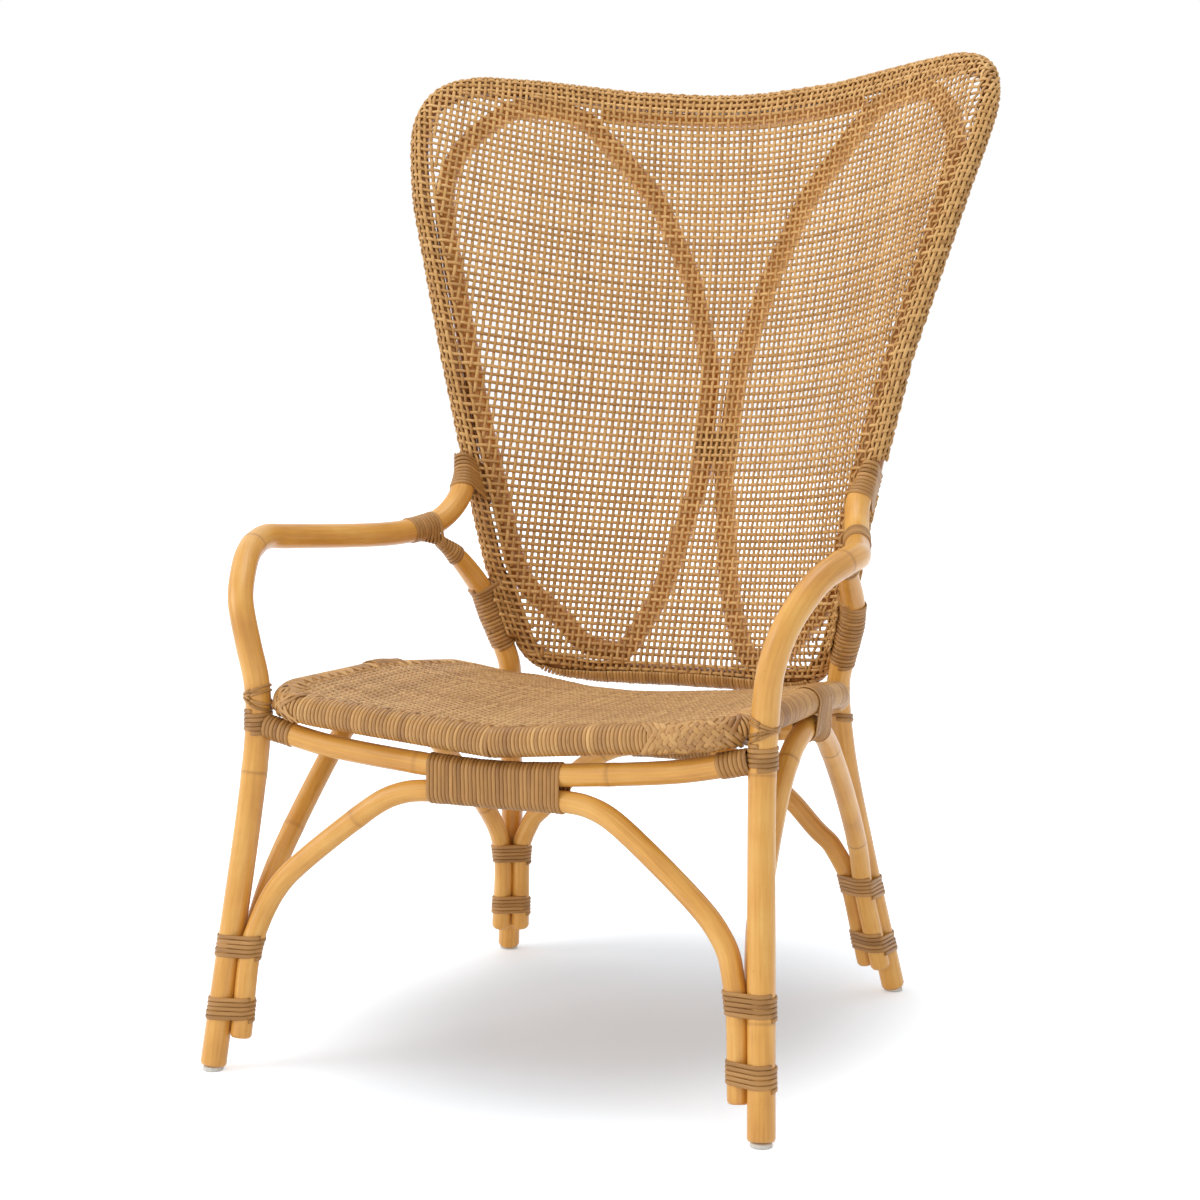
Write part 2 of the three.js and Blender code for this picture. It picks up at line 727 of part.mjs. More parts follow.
function frontRailLine(frontLine) {
  const leg = atHeight(frontLine, waistHeight - railEndDrop);
  const end = leg.clone().setX(leg.x - railSetback(frontPoleRadius));
  const low = frontArchHeight + archRadius + railRadius + clearance * 1.5;
  const places = frontRailShares.map(([x, z], i) => new THREE.Vector3(
    i ? end.x * x : end.x,
    frontArchDepth + (end.y - frontArchDepth) * x * x,
    i ? low + (end.z - low) * z : end.z,
  ));
  return bothHalves(route(places, 0.12));
}

const rearRailShares = [[1, 1], [0.85, 0.68], [0.58, 0.33], [0.29, 0.075], [0, 0]];

function rearRailLine(rearLine) {
  const leg = atHeight(rearLine, rearRailHeight + rearPoleRadius);
  const end = leg.clone().setX(leg.x - railSetback(rearPoleRadius));
  const places = rearRailShares.map(([x, z]) => new THREE.Vector3(
    end.x * x,
    rearRailDepth + (end.y - rearRailDepth) * x * x,
    rearRailHeight + (end.z - rearRailHeight) * z,
  ));
  return bothHalves(route(places, 0.12));
}

// Seat hoop, right half: front edge, round corner that meets the leg, side, rear corner.
// Side shares: x of the hoop's half span, y from front to rear depth, z from rear to side height.
const hoopSideShares = [
  [1, 0.245, 1], [0.998, 0.372, 1], [0.98, 0.545, 0.95], [0.937, 0.72, 0.83],
  [0.898, 0.838, 0.7], [0.84, 0.93, 0.5], [0.745, 0.968, 0.37],
];
const hoopRearShares = [[0.75, 0.985, 0.3], [0.4, 0.997, 0.08], [0, 1, 0]];
const hoopFrontShares = [[0, 0], [0.4, 0.1], [0.76, 0.37], [1, 0.62]];

function hoopHalfSpan(leg) {
  const legClear = frontPoleRadius + rollRadius + peelThickness + clearance * 4;
  const centreDepth = hoopFrontDepth + hoopCornerRadius + peelPitch;
  const ahead = leg.y - centreDepth;
  const contact = hoopCornerRadius + legClear;
  return leg.x - Math.sqrt(contact * contact - ahead * ahead) + hoopCornerRadius;
}

function hoopLineFor(frontLine) {
  const leg = atHeight(frontLine, hoopSideHeight - railEndDrop);
  const span = hoopHalfSpan(leg);
  const cornerX = span - hoopCornerRadius;
  const cornerY = hoopFrontDepth + peelPitch + hoopCornerRadius;
  const rise = hoopSideHeight - hoopFrontHeight;
  const places = hoopFrontShares.map(([x, z]) => new THREE.Vector3(
    cornerX * x,
    hoopFrontDepth + peelPitch * x * x,
    hoopFrontHeight + rise * z,
  ));
  [0.25, 0.5, 0.75, 1].forEach((share) => {
    const angle = Math.PI / 2 * (share - 1);
    places.push(new THREE.Vector3(
      cornerX + Math.cos(angle) * hoopCornerRadius,
      cornerY + Math.sin(angle) * hoopCornerRadius,
      hoopFrontHeight + rise * (0.62 + 0.33 * share),
    ));
  });
  const depth = hoopRearDepth - hoopFrontDepth;
  const fall = hoopSideHeight - hoopRearHeight;
  hoopSideShares.forEach(([x, y, z]) => places.push(new THREE.Vector3(
    span * x,
    hoopFrontDepth + depth * y,
    hoopRearHeight + fall * z,
  )));
  hoopRearShares.forEach(([x, y, z]) => places.push(new THREE.Vector3(
    hoopRearHalfSpan * x,
    hoopFrontDepth + depth * y,
    hoopRearHeight + fall * z,
  )));
  return route(places, 0.2);
}

// Tight seat weave: a dished sheet that rolls over the hoop and tucks under it.
const dishShares = [0.15, 0.5, 0.85];

function seatWeaveSolid(hoopLoop) {
  const flats = 6;
  const wrap = toRadians(240);
  const step = wrap / flats;
  const inner = (hoopRadius + clearance) / Math.cos(step / 2);
  const rings = [];
  const axes = hoopLoop.map((place, i) => {
    const tangent = directionAt(hoopLoop, i, true);
    const outward = tangent.clone().cross(UP).normalize();
    const middle = new THREE.Vector3(0, seatMidDepth, place.z);
    if (outward.dot(middle.sub(place)) > 0) outward.negate();
    const lift = tangent.clone().cross(outward);
    if (lift.z < 0) lift.negate();
    return { outward, lift };
  });
  const dish = (share, thickness) => hoopLoop.map((place) => {
    const low = hoopSideHeight - seatSag - rollRadius;
    const height = low + (place.z - low) * share * share + thickness;
    return new THREE.Vector3(
      place.x * share,
      seatMidDepth + (place.y - seatMidDepth) * share,
      height,
    );
  });
  const arc = (radius, angle) => hoopLoop.map((place, i) => place.clone()
    .addScaledVector(axes[i].outward, Math.cos(angle) * radius)
    .addScaledVector(axes[i].lift, Math.sin(angle) * radius));
  dishShares.forEach((share) => rings.push(dish(share, rollRadius)));
  for (let j = 0; j <= flats; j += 1) rings.push(arc(rollRadius, Math.PI / 2 - j * step));
  for (let j = flats; j >= 0; j -= 1) rings.push(arc(inner, Math.PI / 2 - j * step));
  [...dishShares].reverse().forEach((share) => {
    rings.push(dish(share, inner - clearance));
  });
  return solidFromRings(rings);
}

// Directions in which a belt round several cores is held: the straight sides' own, and
// even steps round each core between them.
function beltAngles(cores, steps) {
  if (cores.length === 1) {
    return Array.from({ length: steps }, (_, i) => i / steps * FULL_TURN);
  }
  const middleU = cores.reduce((sum, core) => sum + core.u, 0) / cores.length;
  const middleV = cores.reduce((sum, core) => sum + core.v, 0) / cores.length;
  const order = [...cores].sort((a, b) => Math.atan2(a.v - middleV, a.u - middleU)
    - Math.atan2(b.v - middleV, b.u - middleU));
  const sides = order.map((core, i) => {
    const next = order[(i + 1) % order.length];
    const apart = Math.hypot(next.u - core.u, next.v - core.v);
    return Math.atan2(next.v - core.v, next.u - core.u)
      - Math.acos(THREE.MathUtils.clamp((core.radius - next.radius) / apart, -1, 1));
  });
  const angles = [];
  sides.forEach((start, i) => {
    let span = (sides[(i + 1) % sides.length] - start) % FULL_TURN;
    if (span <= 0) span += FULL_TURN;
    for (let j = 0; j < steps; j += 1) angles.push(start + span * j / steps);
  });
  return angles;
}

// A belt's own frame: cores cut by a plane, and the tight polygon round them.
function beltOf(cores, origin, axis, steps) {
  const way = axis.clone().normalize();
  const seed = Math.abs(way.z) < 0.9 ? UP : ACROSS;
  const sideways = seed.clone().cross(way).normalize();
  const upright = way.clone().cross(sideways);
  const cutAt = (distance) => cores.map(({ line, radius }) => {
    const hit = crossing(line, origin, way, distance);
    if (!hit) return null;
    const offset = hit.place.sub(origin);
    const slant = Math.max(hit.slant, 0.55);
    let full = radius;
    if (Array.isArray(radius)) {
      const index = Math.min(Math.floor(hit.share), line.length - 2);
      const length = line[index].distanceTo(line[index + 1]);
      const slope = Math.abs(radius[index + 1] - radius[index]) / length;
      full = THREE.MathUtils.lerp(radius[index], radius[index + 1], hit.share - index);
      full += full * slope * Math.sqrt(1 / (slant * slant) - 1);
    }
    return { u: offset.dot(sideways), v: offset.dot(upright), radius: full / slant };
  }).filter(Boolean);
  const angles = beltAngles(cutAt(0), steps);
  const ring = (distance, extra) => {
    const cuts = cutAt(distance);
    const reach = angles.map((angle) => Math.max(...cuts.map((cut) => (
      cut.u * Math.cos(angle) + cut.v * Math.sin(angle) + cut.radius + extra))));
    return angles.map((angle, i) => {
      const next = (i + 1) % angles.length;
      const turn = Math.sin(angles[next] - angle);
      const u = (reach[i] * Math.sin(angles[next]) - reach[next] * Math.sin(angle)) / turn;
      const v = (reach[next] * Math.cos(angle) - reach[i] * Math.cos(angles[next])) / turn;
      return origin.clone().addScaledVector(sideways, u).addScaledVector(upright, v)
        .addScaledVector(way, distance);
    });
  };
  return { ring, stations: angles.length };
}

// The least room between a winding's turns, measured between its corner points.
function leastRoom(sections, stations) {
  let least = Infinity;
  for (let i = 0; i + stations < sections.length; i += 1) {
    for (let near = -1; near <= 1; near += 1) {
      const other = sections[i + stations + near];
      if (!other) continue;
      sections[i].forEach((corner) => other.forEach((facing) => {
        least = Math.min(least, corner.distanceTo(facing));
      }));
    }
  }
  return least;
}

// Peel wound round its cores as one unbroken strip.
function windingGeometry(name, cores, origin, axis, { turns, pitch = peelPitch, steps = 3 }) {
  const { ring, stations } = beltOf(cores, origin, axis, steps);
  const width = pitch - peelSpacing;
  const start = -pitch * turns / 2;
  const sections = [];
  for (let i = 0; i <= turns * stations; i += 1) {
    const station = i % stations;
    const middle = start + i / stations * pitch;
    const low = middle - width / 2;
    const high = middle + width / 2;
    sections.push([
      ring(low, clearance)[station],
      ring(low, clearance + peelThickness)[station],
      ring(high, clearance + peelThickness)[station],
      ring(high, clearance)[station],
    ]);
  }
  console.log(`${name}: least room between turns ${leastRoom(sections, stations).toFixed(2)}`);
  return solidFromRings(sections);
}

// A plain closed sleeve over its cores, for a binding whose turns lie close.
function sleeveGeometry(cores, origin, axis, length, options = {}) {
  const { rows = 2, steps = 4, grow = 0, room = clearance } = options;
  const { ring, stations } = beltOf(cores, origin, axis, steps);
  const levels = Array.from({ length: rows }, (_, i) => (
    (i / (rows - 1) - 0.5) * (length + grow * 2)));
  const insideRings = levels.map((level) => ring(level, room - grow * 0.7));
  const outsideRings = levels.map((level) => ring(level, room + peelThickness + grow));
  const sections = Array.from({ length: stations }, (_, station) => [
    ...insideRings.map((places) => places[station]),
    ...[...outsideRings].reverse().map((places) => places[station]),
  ]);
  return solidFromRings(sections, true);
}

function toManifold(geometry) {
  const bare = geometry.clone();
  bare.deleteAttribute('normal');
  const merged = mergeVertices(bare, 1e-5);
  return new wasm.Manifold(new wasm.Mesh({
    numProp: 3,
    vertProperties: new Float32Array(merged.attributes.position.array),
    triVerts: new Uint32Array(merged.index.array),
  }));
}

function fromManifold(solid) {
  const mesh = solid.getMesh();
  const geometry = new THREE.BufferGeometry();
  geometry.setAttribute('position', new THREE.BufferAttribute(
    new Float32Array(mesh.vertProperties),
    3,
  ));
  geometry.setIndex(Array.from(mesh.triVerts));
  geometry.computeVertexNormals();
  return geometry;
}

// Two strands round the leg that part towards the seat's corner, one above and one below.
function cornerTieGeometry(frontLine) {
  const centre = atHeight(frontLine, hoopSideHeight);
  const cores = [{ line: frontLine, radius: frontPoleRadius }];
  const lean = (rollRadius - peelPitch) / (frontPoleRadius * 2);
  const strands = [1, -1].map((side) => {
    const axis = new THREE.Vector3(lean * side, 0, 1);
    const origin = centre.clone().addScaledVector(UP, side * rollRadius * 0.3);
    return toManifold(sleeveGeometry(cores, origin, axis, tieWidth, { steps: 10 }));
  });
  return fromManifold(strands[0].add(strands[1]));
}

function rearTieGeometry(rearLine) {
  const centre = atHeight(rearLine, hoopRearHeight + rollRadius * 0.3);
  const cores = [{ line: rearLine, radius: rearPoleRadius }];
  const axis = new THREE.Vector3(0.1, 0.15, 1);
  return sleeveGeometry(cores, centre, axis, tieWidth, { steps: 8 });
}

function padGeometry(foot) {
  const geometry = new THREE.CylinderGeometry(padDiameter / 2, padDiameter / 2, padHeight, 16);
  geometry.rotateX(Math.PI / 2);
  geometry.translate(foot.x, foot.y, padHeight / 2);
  return geometry;
}

const chair = new THREE.Group();

function addPiece(name, geometry, finish) {
  const mesh = new THREE.Mesh(geometry, new THREE.MeshStandardMaterial(finish));
  mesh.name = name;
  chair.add(mesh);
}

function flipped(geometry) {
  const other = geometry.clone();
  other.scale(-1, 1, 1);
  return facingOut(other);
}

// A piece for each side from the right-hand solid.
function addPair(name, geometry, finish) {
  addPiece(`${name}_right`, geometry, finish);
  addPiece(`${name}_left`, flipped(geometry), finish);
}

const frameHalf = halfFrameLine();
const frameLoop = frameLoopLine();
const frontLine = frontPoleLine(frameHalf);
const rearLine = rearPoleLine(frameHalf, frontLine);
const hoopHalf = hoopLineFor(frontLine);
const hoopLoop = [...hoopHalf, ...mirrored(hoopHalf.slice(1, -1)).reverse()];
const sideArch = sideArchLine(frontLine, rearLine, hoopHalf);
const frontArch = frontArchLine(frontLine);
const rearArch = rearArchLine(rearLine);
const frontRail = frontRailLine(frontLine);
const rearRail = rearRailLine(rearLine);
const loopRight = loopLine(frameHalf);
const frontRadii = taperedRadii(frontLine, frontPoleRadius, armTaper, armTaperLength);
const rearRadii = taperedRadii(rearLine, rearPoleRadius, branchTaper, branchTaperLength);

function addPoles() {
  addPair('front_leg_arm', poleGeometry(frontLine, frontRadii, { levelStart: true }),
    poleFinish);
  addPair('rear_leg', poleGeometry(rearLine, rearRadii, { levelStart: true }), poleFinish);
  addPair('side_arch', poleGeometry(sideArch, archRadius, { sides: 8 }), poleFinish);
  addPiece('front_arch', poleGeometry(frontArch, archRadius, { sides: 8 }), poleFinish);
  addPiece('rear_arch', poleGeometry(rearArch, archRadius, { sides: 8 }), poleFinish);
  addPiece('front_rail', poleGeometry(frontRail, railRadius, { sides: 10 }), poleFinish);
  addPiece('rear_rail', poleGeometry(rearRail, railRadius, { sides: 10 }), poleFinish);
  addPair('foot_pad_front', padGeometry(frontLine[0]), padFinish);
  addPair('foot_pad_rear', padGeometry(rearLine[0]), padFinish);
}

function addBack() {
  addPiece('back_frame', poleGeometry(frameLoop, frameRadius, { sides: 8, looped: true }),
    poleFinish);
  addPiece('back_frame_weave', frameWeaveGeometry(frameLoop), weaveFinish);
  addPiece('back_panel', panelGeometry(), weaveFinish);
  addPair('back_loop', poleGeometry(loopRight, loopRadius, { sides: 8, looped: true }),
    poleFinish);
  const height = backBottomHeight + backHeight * 0.376;
  const closed = [...loopRight, loopRight[0]];
  const cores = [
    { line: closed, radius: loopRadius },
    { line: mirrored(closed), radius: loopRadius },
  ];
  const upper = backPlace(0, height + loopBindHeight);
  const lower = backPlace(0, height - loopBindHeight);
  addPiece('back_loop_binding', sleeveGeometry(cores, backPlace(0, height),
    upper.sub(lower), loopBindHeight, { rows: 3 }), peelFinish);
}

function addSeat() {
  addPiece('seat_hoop', poleGeometry(hoopLoop, hoopRadius, { sides: 8, looped: true }),
    poleFinish);
  const strapAt = new THREE.Vector3(armHalfSpan, strapDepth, hoopSideHeight);
  const backward = new THREE.Vector3(0, 1, 0);
  const middle = crossing(hoopHalf, strapAt, backward, 0).place;
  const ahead = crossing(hoopHalf, strapAt, backward, strapWidth).place;
  const cores = [
    { line: hoopHalf, radius: rollRadius },
    { line: sideArch, radius: archRadius },
  ];
  const axis = ahead.sub(middle);
  const strap = sleeveGeometry(cores, middle, axis, strapWidth);
  const slot = toManifold(sleeveGeometry(cores, middle, axis, strapWidth, { grow: clearance }));
  const sheet = toManifold(seatWeaveSolid(hoopLoop));
  const slotted = sheet.subtract(slot).subtract(slot.mirror([1, 0, 0]));
  addPiece('seat_weave', fromManifold(slotted), weaveFinish);
  addPair('seat_side_strap', strap, peelFinish);
  addPair('seat_corner_tie', cornerTieGeometry(frontLine), peelFinish);
  addPair('seat_rear_tie', rearTieGeometry(rearLine), peelFinish);
}

function addLegBindings() {
  const front = [
    { line: frontLine, radius: frontPoleRadius },
    { line: frontArch.slice(0, frontArch.length / 2), radius: archRadius },
    { line: sideArch.slice(0, sideArch.length / 2), radius: archRadius },
  ];
  const rear = [
    { line: rearLine.slice(0, rearLine.length / 2), radius: rearPoleRadius },
    { line: rearArch.slice(0, rearArch.length / 2), radius: archRadius },
    { line: sideArch.slice(sideArch.length / 2), radius: archRadius },
  ];
  const bands = [
    ['front_leg_binding_low', front, lowBandHeight],
    ['front_leg_binding_high', front, highBandHeight],
    ['rear_leg_binding_low', rear, rearLowBandHeight],
    ['rear_leg_binding_high', rear, rearHighBandHeight],
  ];
  bands.forEach(([name, cores, height]) => {
    const centre = atHeight(cores[0].line, height);
    addPair(name, windingGeometry(name, cores, centre, UP, { turns: 5 }), peelFinish);
  });
}

function addRailBindings() {
  const leg = [{ line: frontLine, radius: frontPoleRadius }];
  const centre = atHeight(frontLine, waistHeight);
  addPair('leg_rail_binding', windingGeometry('leg_rail_binding', leg, centre, UP,
    { turns: 5, steps: 8 }), peelFinish);
  const rail = [{ line: frontRail, radius: railRadius }];
  const end = frontRail[0];
  const next = frontRail[1];
  const inward = next.clone().sub(end).normalize();
  const start = end.clone().addScaledVector(inward, peelPitch * 3.5);
  addPair('rail_end_binding', windingGeometry('rail_end_binding', rail, start, inward,
    { turns: 5, steps: 8 }), peelFinish);
  const frontPair = [
    { line: frontRail, radius: railRadius },
    { line: frontArch, radius: archRadius },
  ];
  const frontMiddle = new THREE.Vector3(0, frontArchDepth, frontArchHeight + archRadius);
  addPiece('front_center_binding', windingGeometry('front_center_binding', frontPair,
    frontMiddle, ACROSS, { turns: 24, pitch: frontCenterLength / 24, steps: 3 }), peelFinish);
  const rearPair = [
    { line: rearRail, radius: railRadius },
    { line: rearArch, radius: archRadius },
  ];
  const rearMiddle = new THREE.Vector3(0, rearRailDepth, rearArchHeight + archRadius);
  addPiece('rear_center_binding', sleeveGeometry(rearPair, rearMiddle, ACROSS,
    rearCenterLength, { rows: 3 }), peelFinish);
}

function addBackBindings() {
  const frameSide = { line: frameHalf, radius: coverRadius };
  const arm = { line: frontLine, radius: frontRadii };
  const leg = { line: rearLine, radius: rearRadii };
  const armMiddle = atHeight(frameHalf, (armEndBottom + armEndTop) / 2);
  const armAxis = atHeight(frameHalf, armEndTop).sub(atHeight(frameHalf, armEndBottom));
  const armLength = armEndTop - armEndBottom;
  addPair('arm_end_binding', sleeveGeometry([frameSide, arm], armMiddle, armAxis, armLength,
    { rows: 5, room: clearance * 3.6 }), peelFinish);
  const legMiddle = atHeight(frameHalf, (frameLegBottom + frameLegTop) / 2);
  const legAxis = atHeight(rearLine, frameLegTop).sub(atHeight(rearLine, frameLegBottom));
  addPair('frame_leg_binding', sleeveGeometry([frameSide, leg], legMiddle, legAxis,
    frameLegTop - frameLegBottom, { rows: 4 }), peelFinish);
  const origin = new THREE.Vector3(armHalfSpan, armJoinDepth, armHeight);
  const backward = new THREE.Vector3(0, 1, 0);
  const back = branchTipDepth - armJoinDepth;
  const branchMiddle = crossing(frontLine, origin, backward, back).place;
  const nearJoin = crossing(frontLine, origin, backward, back + branchBindLength / 2).place;
  const tip = rearLine[rearLine.length - 1].clone();
  const beyond = tip.clone().sub(rearLine[rearLine.length - 2]).add(tip);
  const first = rearLine.findIndex((place) => place.z > frameLegTop);
  const branch = {
    line: [...rearLine.slice(first), beyond],
    radius: [...rearRadii.slice(first), branchTaper],
  };
  addPair('arm_branch_binding', sleeveGeometry([arm, branch], branchMiddle,
    nearJoin.sub(branchMiddle), branchBindLength, { rows: 6, room: clearance * 4.2 }),
  peelFinish);
}

addPoles();
addBack();
addSeat();
addLegBindings();
addRailBindings();
addBackBindings();

// The chair stands centred over its own floor plan.
const box = new THREE.Box3().setFromObject(chair);
chair.position.y = -(box.min.y + box.max.y) / 2;
chair.updateMatrixWorld(true);

export default chair;
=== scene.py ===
"""Looks of a high-backed rattan lounge chair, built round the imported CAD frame.

Metres, +Z up, the front faces -Y. Every pole, strand and strip follows the centre lines
of the CAD solids, so the looks stay where the frame is.
"""
import json
import math

import bpy
import numpy as np
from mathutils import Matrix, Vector

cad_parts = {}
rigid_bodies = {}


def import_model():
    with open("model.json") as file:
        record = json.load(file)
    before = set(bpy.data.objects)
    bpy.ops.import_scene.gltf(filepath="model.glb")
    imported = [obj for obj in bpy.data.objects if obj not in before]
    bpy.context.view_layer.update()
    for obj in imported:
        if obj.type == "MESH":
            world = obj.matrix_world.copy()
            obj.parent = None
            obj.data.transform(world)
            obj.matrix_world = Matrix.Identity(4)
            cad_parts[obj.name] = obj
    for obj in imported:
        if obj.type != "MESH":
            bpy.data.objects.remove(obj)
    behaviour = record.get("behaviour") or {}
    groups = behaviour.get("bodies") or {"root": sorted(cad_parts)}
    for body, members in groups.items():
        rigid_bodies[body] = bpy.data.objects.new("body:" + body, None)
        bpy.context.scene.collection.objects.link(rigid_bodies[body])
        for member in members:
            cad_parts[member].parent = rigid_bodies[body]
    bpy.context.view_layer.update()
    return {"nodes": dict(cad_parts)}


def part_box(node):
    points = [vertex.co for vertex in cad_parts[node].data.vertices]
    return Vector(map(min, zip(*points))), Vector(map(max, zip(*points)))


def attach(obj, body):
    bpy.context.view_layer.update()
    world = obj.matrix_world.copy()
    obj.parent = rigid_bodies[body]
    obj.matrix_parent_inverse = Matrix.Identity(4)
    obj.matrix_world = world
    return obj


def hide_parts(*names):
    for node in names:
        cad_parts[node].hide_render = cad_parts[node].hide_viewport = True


MM = 0.001
UP = np.array([0.0, 0.0, 1.0])
ACROSS = np.array([1.0, 0.0, 0.0])
TURN = 2 * math.pi
SIDES = (("right", 1), ("left", -1))
OPEN_POLES = ("front_leg_arm_right", "front_leg_arm_left", "rear_leg_right", "rear_leg_left",
              "side_arch_right", "side_arch_left", "front_arch", "rear_arch", "front_rail",
              "rear_rail")

# Camera, worked out from the photograph: place, bearing and dip in degrees.
CAMERA_PLACE = (1.0849, -2.5018, 0.75905)
CAMERA_BEARING = 23.94
CAMERA_DIP = 5.80
CAMERA_LENS = 72.27
CAMERA_SENSOR = 36.0
CAMERA_REACH = 60

# Floor and light. The floor seen by the camera carries a painted glow that grows brighter away
# from the chair, so the chair's shadow stays close round it.
WHITE = (1, 1, 1, 1)
FLOOR_REACH = 12.0
FLOOR_PLAIN = (0.9, 0.9, 0.9, 1)
FLOOR_SHOWN = (0.85, 0.91, 0.97, 1)
FLOOR_GLOW_SPREAD = (1.45, 1.0, 1.0)
FLOOR_GLOW_FROM = 0.2
FLOOR_GLOW_TO = 0.75
FLOOR_GLOW_FAR = 0.6
WORLD_DARK = 0.6
WORLD_BRIGHT = 1.25
WORLD_FROM = (-0.9, -0.43, 0.0)
LAMPS = (("key", (-2.9, -2.4, 2.2), (0, 0, 0.5), 2.4, 38),
         ("overhead", (0, 0.1, 2.9), (0, 0, 0), 1.5, 12))

# Poles.
POLE_SIDES = 24
POLE_STEP = 2.5 * MM
POLE_CUTS = 180
LOOP_CUTS = 120
FRAME_CUTS = 240
FRAME_MIDDLE = 0.42
JOINT_SPACING = (170 * MM, 310 * MM)
JOINT_FIRST = 0.6
JOINT_CLEAR = 30 * MM
JOINT_SKEW = (0.7, 1.2)
JOINT_SWELL = 0.03
JOINT_WIDTH = 7 * MM
GROOVE_DEPTH = 0.025
GROOVE_WIDTH = 1.1 * MM
GROOVE_MARK = 1.3
POLE_WANDER = 0.006
POLE_WANDER_LENGTH = 37 * MM
END_ROUND = 1.4 * MM

# Open net of the back, which goes on round the frame.
COLUMN_PITCH = 7.9 * MM
COLUMN_GROWTH = 0.17
COLUMN_GROWTH_AT = 400 * MM
COLUMN_COUNT = 62
ARC_LIMIT = 520 * MM
ROW_PITCH = 8.0 * MM
ROW_PITCH_EXTRA = 1.5 * MM
ROW_WIDE_HEIGHT = 680 * MM
ROW_WIDE_SPREAD = 110 * MM
ROW_RISE = 0.4
ROWS_BELOW = 60 * MM
ROWS_ABOVE = 75 * MM
NET_LEAN = 0.06
LEAN_FROM = 0.6
LEAN_OVER = 0.5
NET_WIDTH = 4.2 * MM
NET_SPREAD = 0.07
NET_THICKNESS = 2.4 * MM
NET_WAVE = 1.1 * MM
NET_ON_FRAME = 11.7 * MM
NET_ON_PANEL = 17.45 * MM
PANEL_INSET = 15.0 * MM
NET_WRAP = 50 * MM
RIM_FIRST = 9.0 * MM
RIM_PITCH = 7.4 * MM
RIM_PITCH_OUTSIDE = 5.6 * MM
RIM_CLEAR = RIM_FIRST + 0.4 * RIM_PITCH
GUIDE_STEP = 2 * MM
GUIDE_BEYOND = 130 * MM
SIDE_GUIDE = (0.1, 0.9)
SIDE_WIDE = 0.5
TOP_FROM = 0.8
TOP_GUIDE = 0.86
BOTTOM_TO = 0.2
BOTTOM_GUIDE = 0.4
SLIP = 2 * MM
BOUND_FROM = -5 * MM
BOUND_WAVE = 2 * MM
BOUND_WAVE_LENGTH = 3.1 * MM
LEG_COVER = 21 * MM
LEG_COVER_LIFT = 4 * MM
LEG_COVER_START = 12 * MM
LEG_COVER_BLEND = 12 * MM
LEG_OUTBOARD = 0.1
LEG_AWAY = 20 * MM
LEG_AWAY_LEAST = 8 * MM
INNER_FRAME_RADIUS = 9.4 * MM
LOOP_RADIUS = 12.5 * MM
LOOP_ROOM = 1 * MM
LOOP_DRAW = 6 * MM
LOOP_DRAW_REACH = 50 * MM
LOOP_DRAW_BLEND = 15 * MM
TOP_RAIL_RADIUS = 8 * MM
TOP_RAIL_INSIDE = 18.5 * MM
RAIL_WRAP_FROM = -4 * MM
RAIL_WRAP_HALF = 172 * MM
RAIL_WRAP_PITCH = 4.1 * MM
RAIL_WRAP_WIDTH = 3.9 * MM
RAIL_WRAP_THICKNESS = 1.7 * MM
RAIL_WRAP_LIFT = 0.9 * MM
RAIL_WRAP_SWELL = 0.25 * MM
RAIL_WRAP_START = 4.0
RAIL_WRAP_LATER = 30
RAIL_WRAP_END = 236.0

# Seat.
SEAT_SHARE = 0.985
WEFT_PITCH = 5.0 * MM
WARP_PITCH = 7.0 * MM
WEFT_WIDTH = 4.5 * MM
WARP_WIDTH = 5.4 * MM
SEAT_THICKNESS = 1.5 * MM
SEAT_WAVE = 0.75 * MM
SEAT_WANDER = 0.5 * MM
SEAT_WANDER_LENGTHS = (23 * MM, 31 * MM)
EDGE_PITCH = 4.35 * MM
EDGE_WIDTH = 4.2 * MM
EDGE_THICKNESS = 2.0 * MM
EDGE_REACH = 7 * MM
EDGE_STEP = 4.5 * MM
EDGE_LIFT = 0.5 * MM
EDGE_INWARD = np.array([1.0, 0.66, 0.33])[:, None]
EDGE_RISE = np.array([-0.6, 0.9, 1.0]) * MM
EDGE_ARC = np.radians(np.linspace(90, -150, 17))[:, None]
EDGE_NEW_TINT = 0.22
ROLL_RADIUS = 12.9 * MM
HOOP_THINNER = 0.6 * MM
BRAID_PITCH = 5.9 * MM
BRAID_WIDTH = 5.2 * MM
BRAID_THICKNESS = 1.6 * MM
BRAID_SLANT = 30 * MM
BRAID_FROM = 14 * MM
BRAID_TO = {"right": 88 * MM, "left": 30 * MM}
BRAID_TOP = 88
BRAID_BOTTOM = -58
BRAID_LIFT = 2.6 * MM
BRAID_WAVE = 0.9 * MM

# Peel bindings and glides.
PEEL_WIDTH = 4.5 * MM
PEEL_THICKNESS = 1.6 * MM
PEEL_GAP = 0.25 * MM
PEEL_LIFT = 0.1 * MM
PEEL_SAG = 0.12 * MM
PEEL_STEPS = 20
BELT_LEVELS = 12
LEAST_SLANT = 0.6
LEG_BAND_START = 1.1
CENTRE_PITCH = 4.5 * MM
CENTRE_WIDTH = 4.25 * MM
RAIL_END_SHIFT = 6 * MM
RAIL_END_TURNS = 7
ARM_END_BACK = 4 * MM
ARM_END_LENGTH = 43 * MM
END_SLACK = 5 * MM
END_ROWS = 60
FAN_SHARES = (0.1, 0.28, 0.46, 0.64, 0.82)
FAN_STEP = 5 * MM
TIP_LENGTH = 30 * MM
TIP_TAPER = 0.7
ARM_TURNS_LENGTH = 42 * MM
BRANCH_TURNS_LENGTH = 36 * MM
BRANCH_TURNS_DOWN = 3 * MM
LEG_TURNS_LENGTH = 24 * MM
FORK_OPEN = 6 * MM
CORNER_TIE = ((0.42, 6.5), (0.30, 2.2), (-0.34, -3.0), (-0.46, -7.5))
CORNER_TIE_PITCH = 1.2 * MM
